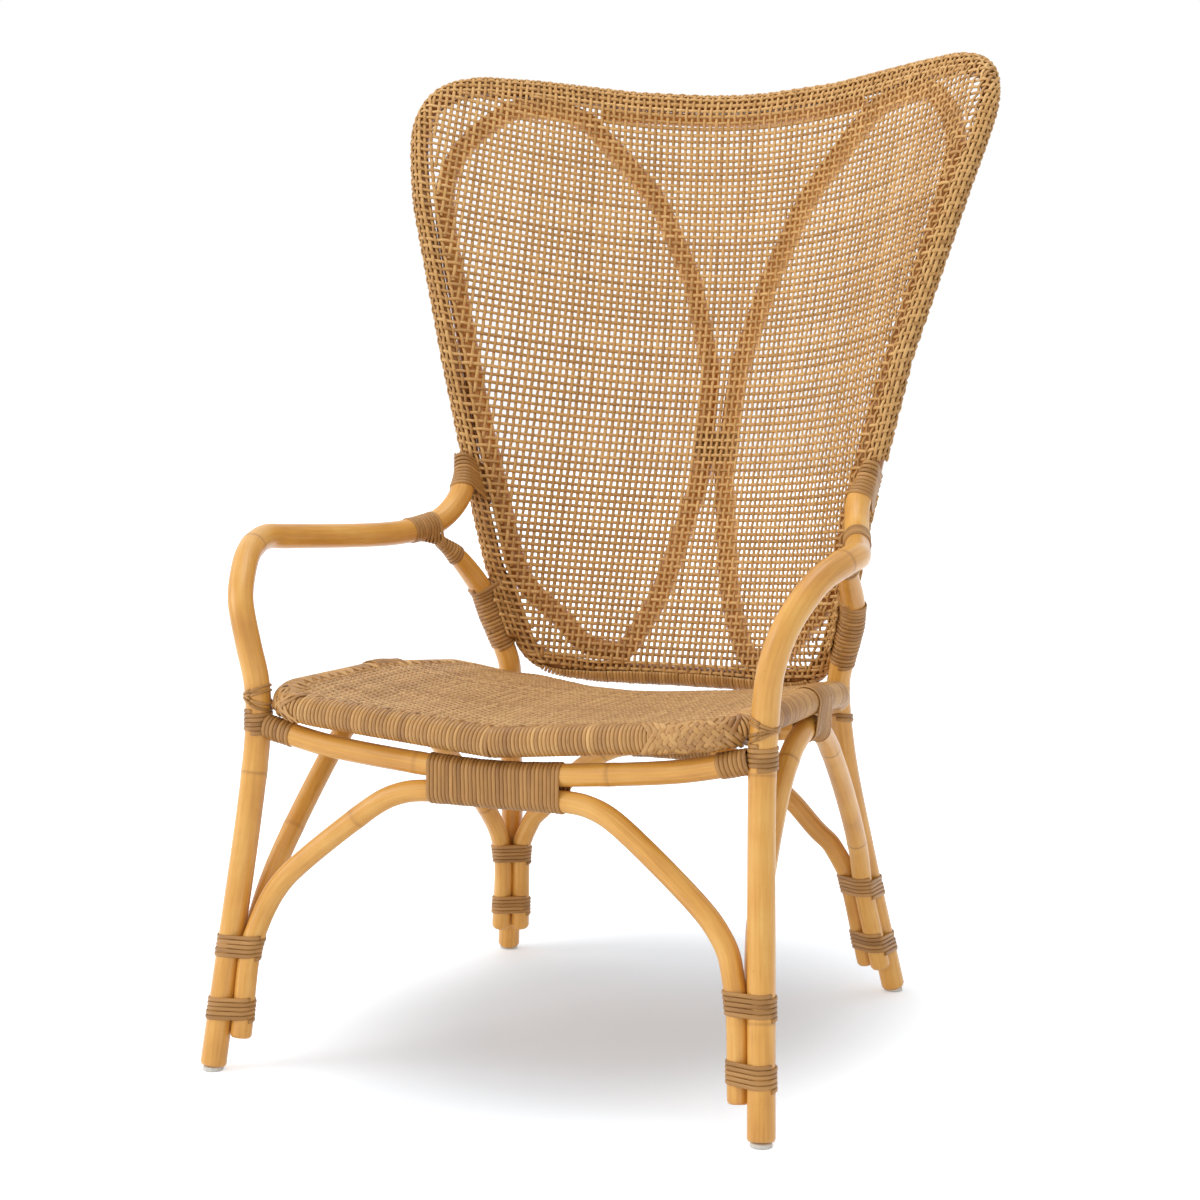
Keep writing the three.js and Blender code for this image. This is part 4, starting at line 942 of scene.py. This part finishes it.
def outline_guides():
    share = (outline[:, 2] - outline[:, 2].min()) / np.ptp(outline[:, 2])
    wide = np.abs(outline[:, 0]) / outline[:, 0].max()
    upright = (share > SIDE_GUIDE[0]) & (share < SIDE_GUIDE[1]) & (wide > SIDE_WIDE)
    return {
        "right": Guide(upright & (outline[:, 0] > 0), 1),
        "left": Guide(upright & (outline[:, 0] < 0), 1),
        "top": Guide((share > TOP_FROM) & (wide < TOP_GUIDE), 0),
        "bottom": Guide((share < BOTTOM_TO) & (wide < BOTTOM_GUIDE), 0),
    }


guides = outline_guides()


def net_lines():
    """Arcs of the net's columns and heights of its rows, where they cross the middle."""
    arcs = COLUMN_PITCH * np.arange(-COLUMN_COUNT, COLUMN_COUNT + 1)
    arcs = arcs * (1 + COLUMN_GROWTH * (arcs / COLUMN_GROWTH_AT) ** 2)
    heights, z = [], back_low.z - ROWS_BELOW
    while z < back_high.z + ROWS_ABOVE:
        heights.append(z)
        z += ROW_PITCH + ROW_PITCH_EXTRA * bump_at(z - ROW_WIDE_HEIGHT, ROW_WIDE_SPREAD)
    return arcs[np.abs(arcs) < ARC_LIMIT], np.array(heights)


def lean_at(height):
    return 1 + NET_LEAN * smoothstep((height - LEAN_FROM) / LEAN_OVER)


def halved(values):
    """The values with one more halfway between each two."""
    rows = np.arange(len(values))
    return np.interp(np.arange(2 * len(values) - 1) / 2, rows, values)


def net_grid():
    """Places of the columns and rows at every crossing and halfway between."""
    arcs, heights = net_lines()
    arc, level = halved(arcs)[:, None], halved(heights)[None]
    x = surface.across(arc, np.full_like(arc, ROW_WIDE_HEIGHT)) * lean_at(level)
    return x, level + ROW_RISE * x**2


def net_numbers(x, z):
    """Which column and which row of the net a place lies on."""
    arcs, heights = net_lines()
    level = z - ROW_RISE * x**2
    arc = surface.flat(x / lean_at(level), np.full_like(x, ROW_WIDE_HEIGHT))[..., 0]
    return (np.interp(arc, arcs, np.arange(len(arcs))),
            np.interp(level, heights, np.arange(len(heights))))


def rim_places():
    """How far inside the centre line each rim strand lies: closer on the frame's outer side."""
    places = [RIM_FIRST]
    while places[-1] > -NET_WRAP:
        places.append(places[-1] - (RIM_PITCH if places[-1] > 0 else RIM_PITCH_OUTSIDE))
    return np.array(places)


def rim_numbers(flat, numbers, names):
    """Numbers of the rim strands near these sides, and the net's own farther inside."""
    places = rim_places()
    for name in names:
        inside = guides[name].inside(flat)
        order = np.interp(-inside, -places, np.arange(len(places)))
        order = np.where(inside > RIM_FIRST, (RIM_FIRST - inside) / RIM_PITCH, order)
        numbers = np.where(order > -0.5, order, numbers)
    return numbers


def weave(strands, places, normals, keep, sign, crossing):
    """One strand over and under those that it crosses."""
    offset = NET_WAVE * sign * np.cos(math.pi * crossing)
    for a, b in runs(keep):
        width = 1 + NET_SPREAD * rng.normal()
        strands.sweep(places[a:b] + normals[a:b] * offset[a:b, None], normals[a:b],
                      round_profile(6, NET_WIDTH, NET_THICKNESS), tint=rng.uniform(), scale=width)


def make_net():
    x, z = net_grid()
    places, normals, here = roll.lay(x, z)
    flat = surface.flat(x, z)
    distance = {name: guide.inside(flat) for name, guide in guides.items()}
    columns, rows = (np.arange(count) / 2 for count in x.shape)
    column_number = rim_numbers(flat, np.broadcast_to(columns[:, None], x.shape),
                                ("right", "left"))
    row_number = rim_numbers(flat, np.broadcast_to(rows, x.shape), ("top", "bottom"))
    strands = Strands()
    keep = here & (np.minimum(distance["right"], distance["left"]) > RIM_CLEAR)
    for i in range(0, x.shape[0], 2):
        weave(strands, places[i], normals[i], keep[i], (-1) ** (i // 2), row_number[i])
    keep = here & (np.minimum(distance["top"], distance["bottom"]) > RIM_CLEAR)
    for j in range(0, x.shape[1], 2):
        weave(strands, places[:, j], normals[:, j], keep[:, j], -(-1) ** (j // 2),
              column_number[:, j])
    for name, guide in guides.items():
        upright = name in ("right", "left")
        crossed = ("top", "bottom") if upright else ("right", "left")
        for order, place in enumerate(rim_places()):
            flat = guide.line + guide.inward * place
            x, z = surface.unroll(flat)
            crossing = rim_numbers(flat, net_numbers(x, z)[1 if upright else 0], crossed)
            weave(strands, *roll.lay(x, z), (1 if upright else -1) * (-1) ** order, crossing)
    strands.piece("back_net", net_strand, "back_panel", "back_frame_weave", slot="woven_cane")


def make_rail_wraps():
    """Close strands that cover the bottom rail, square to it."""
    low = np.flatnonzero((np.abs(outline[:, 0]) < RAIL_WRAP_HALF)
                         & (outline[:, 2] < back_middle[2]))
    order = low[np.argsort(outline[low, 0])]
    along = lengths_along(outline[order])
    profile = strip_profile(RAIL_WRAP_WIDTH, RAIL_WRAP_THICKNESS)
    strands = Strands()
    for stop in np.arange(0, along[-1], RAIL_WRAP_PITCH):
        k = np.interp(stop, along, np.arange(len(order)))
        centre = sampled(outline[order], k)
        facing = unit(sampled(outline_facing[order], k))
        inboard = unit(sampled(outline_inboard[order], k))
        first = RAIL_WRAP_START + RAIL_WRAP_LATER * abs(centre[0] / RAIL_WRAP_HALF) ** 3
        angles = np.radians(np.linspace(first, RAIL_WRAP_END, 20))[:, None]
        out = facing * np.cos(angles) - inboard * np.sin(angles)
        swell = NET_ON_FRAME + RAIL_WRAP_LIFT + RAIL_WRAP_SWELL * rng.normal()
        strands.sweep(centre + out * swell, out, profile, tint=rng.uniform())
    strands.piece("bottom_rail_wraps", net_strand, slot="woven_cane")


# ---------------------------------------------------------------- seat

seat_low, seat_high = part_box("seat_hoop")
seat_middle = np.array([0.0, (seat_low.y + seat_high.y) / 2, (seat_low.z + seat_high.z) / 2])
hoop = spline(loop_line("seat_hoop", seat_middle, (0, 1), POLE_CUTS), 2 * MM, closed=True)
hoop_along = tangents(hoop, True)
hoop_out = square_to(np.cross(hoop_along, UP), hoop_along)
if np.sum(hoop_out * (hoop - seat_middle)) < 0:
    hoop_out = -hoop_out
hoop_lift = np.cross(hoop_along, hoop_out)
hoop_lift *= np.sign(hoop_lift[:, 2:3])
hoop_lengths = lengths_along(hoop)
hoop_total = hoop_lengths[-1] + np.linalg.norm(hoop[0] - hoop[-1])


def on_hoop(stop):
    """Centre, outward direction and lift of the hoop at distances along it."""
    k = np.interp(stop, hoop_lengths, np.arange(len(hoop)))
    return sampled(hoop, k), unit(sampled(hoop_out, k)), unit(sampled(hoop_lift, k))


class Dish:
    """Height of the seat's sheet, from its sunk middle out to the hoop."""

    def __init__(self):
        sheet = frame["nodes"]["seat_weave"]
        hit, place, *_ = sheet.ray_cast(Vector((0, seat_middle[1], 1)), Vector((0, 0, -1)))
        self.sunk = place.z if hit else seat_middle[2]
        bearing = np.arctan2(hoop[:, 1] - seat_middle[1], hoop[:, 0])
        order = np.argsort(bearing)
        self.bearing = bearing[order]
        self.reach = np.hypot(hoop[order, 0], hoop[order, 1] - seat_middle[1])
        self.rim = hoop[order, 2] + ROLL_RADIUS

    def toward(self, x, y, values):
        """What the hoop's values are in the direction of a place."""
        return np.interp(np.arctan2(y - seat_middle[1], x), self.bearing, values, period=TURN)

    def share(self, x, y):
        return np.hypot(x, y - seat_middle[1]) / self.toward(x, y, self.reach)

    def height(self, x, y):
        return self.sunk + (self.toward(x, y, self.rim) - self.sunk) * self.share(x, y) ** 2

    def place(self, x, y):
        return np.stack([x, y, self.height(x, y)], -1)

    def normal(self, x, y):
        dx = self.place(x + MM, y) - self.place(x - MM, y)
        dy = self.place(x, y + MM) - self.place(x, y - MM)
        return unit(np.cross(dx, dy))


dish = Dish()


def make_seat_top():
    xs = halved(np.arange(seat_low.x, seat_high.x, WARP_PITCH))
    ys = halved(np.arange(seat_low.y, seat_high.y, WEFT_PITCH))
    x, y = np.meshgrid(xs, ys, indexing="ij")
    length_x, length_y = SEAT_WANDER_LENGTHS
    wander = SEAT_WANDER * np.sin(x / length_x) * np.sin(y / length_y + 1.3)
    x, y = x + wander, y - wander
    places, normals, keep = dish.place(x, y), dish.normal(x, y), dish.share(x, y) < SEAT_SHARE
    strands = Strands()
    for width, wave in ((WARP_WIDTH, SEAT_WAVE), (WEFT_WIDTH, -SEAT_WAVE)):
        profile = round_profile(6, width, SEAT_THICKNESS)
        for i in range(0, keep.shape[0], 2):
            offset = wave * (-1) ** (i // 2) * np.cos(math.pi / 2 * np.arange(keep.shape[1]))
            for a, b in runs(keep[i]):
                strands.sweep(places[i, a:b] + normals[i, a:b] * offset[a:b, None],
                              normals[i, a:b], profile, tint=rng.uniform())
        places, normals, keep = places.swapaxes(0, 1), normals.swapaxes(0, 1), keep.T
    strands.piece("seat_cane_top", seat_strand, "seat_weave", slot="woven_cane")


def make_seat_edge():
    """Strands that run off the top, over the hoop and under it, laid side by side."""
    strands = Strands()
    profile = strip_profile(EDGE_WIDTH, EDGE_THICKNESS)
    count = int(hoop_total / EDGE_PITCH)
    group_tint = 0.5
    for number, stop in enumerate(np.arange(count) / count * hoop_total):
        if rng.uniform() < EDGE_NEW_TINT:
            group_tint = rng.uniform()
        reach = (EDGE_REACH + EDGE_STEP * (number % 4)) * rng.uniform(0.9, 1.1)
        centre, out, lift = on_hoop(stop)
        top = centre - out * EDGE_INWARD * reach
        top[:, 2] = dish.height(top[:, 0], top[:, 1]) + EDGE_RISE
        around = out * np.cos(EDGE_ARC) + lift * np.sin(EDGE_ARC)
        normal = np.vstack([np.broadcast_to(lift, (3, 3)), around])
        strands.sweep(np.vstack([top, centre + around * (ROLL_RADIUS + EDGE_LIFT)]), normal,
                      profile, tint=0.1 + 0.5 * group_tint + 0.25 * rng.uniform())
    strands.piece("seat_cane_edge", edge_strand, slot="woven_cane")


def make_corner_braid():
    """Slanted strands that cross over the edge at each front corner."""
    share = np.linspace(0, 1, 17)
    angles = np.radians(BRAID_TOP + (BRAID_BOTTOM - BRAID_TOP) * share)[:, None]
    profile = strip_profile(BRAID_WIDTH, BRAID_THICKNESS)
    strands = Strands()
    for side, _ in SIDES:
        leg = lines[f"front_leg_arm_{side}"]
        corner = nearest_row(hoop, at_height(leg, seat_middle[2]))
        behind = hoop[(corner + 20) % len(hoop), 1] < hoop[(corner - 20) % len(hoop), 1]
        toward = 1 if behind else -1
        for hand in (1, -1):
            slide = hand * (share - 0.5) * BRAID_SLANT
            for number, stop in enumerate(np.arange(BRAID_FROM, BRAID_TO[side], BRAID_PITCH)):
                reach = hoop_lengths[corner] + toward * (stop + slide)
                centre, out, lift = on_hoop(reach % hoop_total)
                out = out * np.cos(angles) + lift * np.sin(angles)
                crossing = (stop + 2 * slide - BRAID_FROM) / BRAID_PITCH
                wave = BRAID_WAVE * hand * (-1) ** number * np.cos(math.pi * crossing / 2)
                strands.sweep(centre + out * (ROLL_RADIUS + BRAID_LIFT + wave)[:, None], out,
                              profile, tint=rng.uniform(0.2, 0.6))
    strands.piece("seat_corner_braid", edge_strand, slot="woven_cane")


# ---------------------------------------------------------------- peel bindings

class Belt:
    """The tight outline round several poles, cut square to an axis at any distance along it."""

    def __init__(self, cores, origin, axis, low, high):
        self.origin, self.axis = np.asarray(origin, float), unit(axis)
        seed = UP if abs(self.axis[2]) < 0.9 else ACROSS
        self.sideways = unit(np.cross(seed, self.axis))
        self.upright = np.cross(self.axis, self.sideways)
        self.levels = np.linspace(low, high, BELT_LEVELS)
        self.cuts = []
        for core in cores:
            self.cuts.append(np.array([self.cut(core, level) for level in self.levels]))
        for cut in self.cuts[1:]:
            ended = np.isnan(cut[:, 2])
            cut[ended, :2] = self.cuts[0][ended, :2]
            cut[ended, 2] = 0.3 * self.cuts[0][ended, 2]

    def cut(self, core, level):
        """Middle (u, v) and radius of a pole where the plane at this level cuts it.

        The radius is NaN where a pole other than the first has ended.
        """
        away = (core[:, :3] - self.origin) @ self.axis - level
        spans = np.flatnonzero((away[:-1] <= 0) != (away[1:] <= 0))
        if not len(spans):
            end = 0 if abs(away[0]) < abs(away[-1]) else -1
            place, slant = core[end], 1.0
            if abs(away[end]) > END_SLACK and self.cuts:
                place = np.array([*place[:3], np.nan])
        else:
            hits = []
            for s in spans:
                share = away[s] / (away[s] - away[s + 1])
                place = core[s] + (core[s + 1] - core[s]) * share
                slant = abs(unit(core[s + 1, :3] - core[s, :3]) @ self.axis)
                hits.append((np.linalg.norm(place[:3] - self.origin), place, slant))
            _, place, slant = min(hits, key=lambda hit: hit[0])
        offset = place[:3] - self.origin
        return offset @ self.sideways, offset @ self.upright, place[3] / max(slant, LEAST_SLANT)

    def at(self, angle, level, lift):
        """Place and outward direction on the belt."""
        best, place = -math.inf, None
        out = self.sideways * math.cos(angle) + self.upright * math.sin(angle)
        for cut in self.cuts:
            u, v, r = (np.interp(level, self.levels, cut[:, k]) for k in range(3))
            reach = u * math.cos(angle) + v * math.sin(angle) + r
            if reach > best:
                best, place = reach, self.sideways * u + self.upright * v + out * (r + lift)
        return self.origin + self.axis * level + place, out


class Binding(Strands):
    """Peel wound round poles, shown in place of one CAD node."""

    def __init__(self, node):
        super().__init__()
        self.node = node
        self.low, self.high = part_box(node)
        self.middle = box_middle(node)

    def wind(self, cores, origin, axis, length, pitch=None, lift=PEEL_LIFT, start=0.0,
             width=PEEL_WIDTH):
        """Close turns, centred on the origin."""
        pitch = pitch or width + PEEL_GAP
        turns = max(int(round(length / pitch)), 1)
        belt = Belt(cores, origin, axis, -length / 2 - pitch, length / 2 + pitch)
        turn_tints = rng.uniform(size=turns + 2)
        turn = np.arange(turns * PEEL_STEPS + 1) / PEEL_STEPS
        laid = [belt.at(start + t * TURN, (t / turns - 0.5) * length,
                        lift + PEEL_SAG * math.sin(t * 5.1)) for t in turn]
        places, normals = (np.array(values) for values in zip(*laid))
        self.sweep(places, normals, strip_profile(width, PEEL_THICKNESS),
                   tint=turn_tints[turn.astype(int)])
        return self

    def done(self):
        self.piece(f"peel_{self.node}", peel, self.node, slot="rattan_peel")


def make_leg_bands():
    for side, sign in SIDES:
        side_arch = lines[f"side_arch_{side}"]
        peak = np.argmax(side_arch[:, 2])
        parts = sorted((side_arch[:peak], side_arch[peak:]), key=lambda part: part[:, 1].min())
        for end, pole, part in zip(("front", "rear"), ("front_leg_arm", "rear_leg"), parts):
            leg, arch = lines[f"{pole}_{side}"], lines[f"{end}_arch"]
            for level in ("low", "high"):
                band = Binding(f"{end}_leg_binding_{level}_{side}")
                # The leg's own nearest place is moved level with the band.
                middle = leg[nearest_row(leg, band.middle), :3]
                middle[2] = (band.low.z + band.high.z) / 2
                band.wind([leg, arch[arch[:, 0] * sign > 0], part], middle, UP,
                          band.high.z - band.low.z - PEEL_WIDTH, start=LEG_BAND_START).done()


def make_rail_bindings():
    rail = lines["front_rail"]
    for side, _ in SIDES:
        leg = lines[f"front_leg_arm_{side}"]
        band = Binding(f"leg_rail_binding_{side}")
        band.wind([leg], leg[nearest_row(leg, band.middle), :3], UP,
                  band.high.z - band.low.z - PEEL_WIDTH).done()
        band = Binding(f"rail_end_binding_{side}")
        near = nearest_row(rail, band.middle)
        axis = unit(rail[min(near + 4, len(rail) - 1), :3] - rail[max(near - 4, 0), :3])
        toward = 1 if (leg[0, 0] - rail[near, 0]) * axis[0] > 0 else -1
        band.wind([rail], rail[near, :3] + axis * toward * RAIL_END_SHIFT, axis,
                  RAIL_END_TURNS * (PEEL_WIDTH + PEEL_GAP)).done()
    for end in ("front", "rear"):
        band = Binding(f"{end}_center_binding")
        band.wind([lines[f"{end}_rail"], lines[f"{end}_arch"]], band.middle, ACROSS,
                  band.high.x - band.low.x - PEEL_WIDTH, pitch=CENTRE_PITCH,
                  width=CENTRE_WIDTH).done()


def bound_rim(sign):
    """The frame's pole beside the arm and the leg, from low to high."""
    rim = with_radius(outline, INNER_FRAME_RADIUS)
    rim = rim[(rim[:, 0] * sign > 0.12) & (rim[:, 2] < 0.95)]
    return rim[np.argsort(rim[:, 2])]


def make_back_bindings():
    for side, sign in SIDES:
        rim = bound_rim(sign)
        arm, leg = upward(lines[f"front_leg_arm_{side}"]), upward(lines[f"rear_leg_{side}"])
        band = Binding(f"arm_end_binding_{side}")
        ending = np.abs(arm[-END_ROWS:, 2] - band.middle[2])
        tip = np.argmin(ending) + len(arm) - END_ROWS
        axis = unit(arm[tip, :3] - arm[tip - 12, :3])
        band.wind([rim, arm], arm[tip, :3] - axis * ARM_END_BACK, axis, ARM_END_LENGTH).done()
        band = Binding(f"frame_leg_binding_{side}")
        top, bottom = band.high.z - 2 * PEEL_WIDTH, band.low.z + LEG_TURNS_LENGTH
        axis = at_height(leg, top) - at_height(leg, bottom)
        band.wind([rim, leg], at_height(leg, (top + bottom) / 2), axis, np.linalg.norm(axis))
        band.wind([leg], at_height(leg, band.low.z + LEG_TURNS_LENGTH / 2), axis,
                  LEG_TURNS_LENGTH).done()
        make_branch_binding(side, arm, leg)


def make_branch_binding(side, arm, leg):
    """Turns round the arm and the tip of its branch, a fan at the fork, turns on the branch."""
    apart = np.array([np.linalg.norm(arm[:, :3] - place, axis=1).min() for place in leg[:, :3]])
    near = np.flatnonzero(apart < apart[-END_ROWS:].min() + FORK_OPEN)
    fork = near[near > len(leg) - END_ROWS].min()
    beside = nearest_row(arm, leg[fork, :3])
    crotch = (arm[beside, :3] + leg[fork, :3]) / 2
    onward = unit(arm[beside, :3] - arm[beside - 10, :3])
    down = unit(leg[fork - 8, :3] - leg[fork, :3])
    share = np.linspace(0, 1, 12)[:, None]
    under = leg[-1, :3] - onward * share * TIP_LENGTH
    under += (arm[beside, :3] - leg[-1, :3]) * 0.5 * share
    tip = np.column_stack([under, leg[-1, 3] * (1 - TIP_TAPER * share)])
    band = Binding(f"arm_branch_binding_{side}")
    band.wind([arm, np.vstack([leg[fork - 4:-1], tip])],
              crotch - onward * ARM_TURNS_LENGTH / 2, onward, ARM_TURNS_LENGTH)
    for share in FAN_SHARES:
        band.wind([leg], crotch + down * share * FAN_STEP,
                  unit(onward * (1 - share) + down * share), PEEL_WIDTH)
    band.wind([leg], crotch + down * (BRANCH_TURNS_LENGTH / 2 + BRANCH_TURNS_DOWN), down,
              BRANCH_TURNS_LENGTH).done()


def make_loop_binding():
    band = Binding("back_loop_binding")
    cores = []
    for line in back_loops.values():
        near = line[np.abs(line[:, 0]) < 60 * MM]
        cores.append(with_radius(near[np.argsort(near[:, 2])], LOOP_RADIUS))
    low, high = surface.place(np.zeros(2), np.array([band.low.z, band.high.z]))
    band.wind(cores, (low + high) / 2, high - low, band.high.z - band.low.z - PEEL_WIDTH).done()


def make_seat_ties():
    cover = with_radius(hoop, ROLL_RADIUS + SEAT_COVER)
    for side, sign in SIDES:
        leg, rear = lines[f"front_leg_arm_{side}"], lines[f"rear_leg_{side}"]
        tie = Binding(f"seat_corner_tie_{side}")
        centre = leg[nearest_row(leg, tie.middle), :3]
        for tilt, shift in CORNER_TIE:
            tie.wind([leg], centre + UP * shift * MM, np.array([tilt * sign, 0, 1.0]),
                     CORNER_TIE_PITCH, pitch=CORNER_TIE_PITCH, width=CORNER_TIE_WIDTH)
        tie.done()
        tie = Binding(f"seat_rear_tie_{side}")
        tie.wind([rear], rear[nearest_row(rear, tie.middle), :3],
                 np.array([0.1 * sign, 0.15, 1.0]), 2 * PEEL_WIDTH).done()
        strap = Binding(f"seat_side_strap_{side}")
        near = nearest_row(hoop, strap.middle)
        part = np.roll(cover, -near + STRAP_ROWS, axis=0)[:2 * STRAP_ROWS]
        axis = part[STRAP_ROWS + 10, :3] - part[STRAP_ROWS - 10, :3]
        strap.wind([part, lines[f"side_arch_{side}"]], hoop[near], axis, STRAP_LENGTH,
                   lift=STRAP_LIFT, pitch=STRAP_PITCH, width=STRAP_WIDTH).done()


def make_glides():
    for name in [f"foot_pad_{end}_{side}" for end in ("front", "rear") for side, _ in SIDES]:
        low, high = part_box(name)
        line = np.tile(box_middle(name), (len(GLIDE_HEIGHTS), 1))
        line[:, 2] = low.z + GLIDE_HEIGHTS * (high.z - low.z)
        strands = Strands()
        strands.sweep(line, ACROSS, round_profile(32, 2, 2),
                      scale=GLIDE_SIZES * (high.x - low.x) / 2)
        strands.piece(f"glide_{name}", glide, name, slot="foot_pad")


# ---------------------------------------------------------------- stage, light and camera

def make_stage():
    mesh = bpy.data.meshes.new("floor")
    mesh.from_pydata([(x * FLOOR_REACH, y * FLOOR_REACH, 0)
                      for x, y in ((-1, -1), (1, -1), (1, 1), (-1, 1))], [], [(0, 1, 2, 3)])
    floor = bpy.data.objects.new("floor", mesh)
    bpy.context.scene.collection.objects.link(floor)
    n = Nodes(bpy.data.materials.new("floor_paint"))
    plain = n.add("ShaderNodeBsdfDiffuse", {"Color": FLOOR_PLAIN})
    shown = n.add("ShaderNodeBsdfDiffuse", {"Color": FLOOR_SHOWN})
    place = n.add("ShaderNodeTexCoord").outputs["Object"]
    spread = n.add("ShaderNodeVectorMath", {0: place, 1: FLOOR_GLOW_SPREAD}, operation="MULTIPLY")
    away = n.add("ShaderNodeVectorMath", {0: spread.outputs[0]}, operation="LENGTH")
    share = n.add("ShaderNodeMapRange", {"Value": away.outputs["Value"], "From Min": FLOOR_GLOW_FROM,
                                         "From Max": FLOOR_GLOW_TO, "To Max": FLOOR_GLOW_FAR},
                  interpolation_type="SMOOTHSTEP")
    # Painted glow: emission on the floor seen by the camera, none near the chair and more farther
    # out, sets how far the chair's shadow reaches.
    lift = n.add("ShaderNodeEmission", {"Color": WHITE, "Strength": share.outputs[0]})
    both = n.add("ShaderNodeAddShader", {0: shown.outputs[0], 1: lift.outputs[0]})
    n.when_seen(plain, both)
    mesh.materials.append(n.owner)


def make_world():
    world = bpy.data.worlds.new("studio")
    bpy.context.scene.world = world
    n = Nodes(world, "ShaderNodeOutputWorld")
    place = n.add("ShaderNodeTexCoord").outputs["Generated"]
    towards = n.add("ShaderNodeVectorMath", {0: place, 1: WORLD_FROM}, operation="DOT_PRODUCT")
    level = n.add("ShaderNodeMapRange", {"Value": towards.outputs["Value"], "From Min": -1,
                                         "To Min": WORLD_DARK, "To Max": WORLD_BRIGHT})
    soft = n.add("ShaderNodeBackground", {"Color": WHITE, "Strength": level.outputs[0]})
    n.when_seen(soft, n.add("ShaderNodeBackground", {"Color": WHITE, "Strength": 1.0}))


def aimed(data, place, ahead):
    """A lamp or camera at a place, looking along a direction."""
    thing = bpy.data.objects.new(data.name, data)
    thing.location = place
    thing.rotation_mode = "QUATERNION"
    thing.rotation_quaternion = ahead.to_track_quat("-Z", "Y")
    bpy.context.scene.collection.objects.link(thing)
    return thing


def make_lamps():
    for name, place, aim, size, power in LAMPS:
        data = bpy.data.lights.new(name, "AREA")
        data.shape = "DISK"
        data.size = size
        data.energy = power
        aimed(data, place, Vector(aim) - Vector(place))


def make_camera():
    data = bpy.data.cameras.new("photo_view")
    data.lens = CAMERA_LENS
    data.sensor_width = CAMERA_SENSOR
    data.clip_end = CAMERA_REACH
    bearing, dip = math.radians(CAMERA_BEARING), math.radians(CAMERA_DIP)
    ahead = Vector((-math.sin(bearing) * math.cos(dip), math.cos(bearing) * math.cos(dip),
                    -math.sin(dip)))
    bpy.context.scene.camera = aimed(data, CAMERA_PLACE, ahead)


make_camera()
for pole in OPEN_POLES:
    make_pole(f"pole_{pole}", honey, lines[pole], pole)
make_back_poles()
make_top_rail()
make_net()
make_rail_wraps()
make_pole("pole_seat_hoop", honey, with_radius(hoop[::2], ROLL_RADIUS - HOOP_THINNER),
          "seat_hoop", closed=True)
make_seat_top()
make_seat_edge()
make_corner_braid()
make_leg_bands()
make_rail_bindings()
make_back_bindings()
make_loop_binding()
make_seat_ties()
make_glides()
make_stage()
make_world()
make_lamps()
bpy.context.scene.view_settings.view_transform = "Standard"
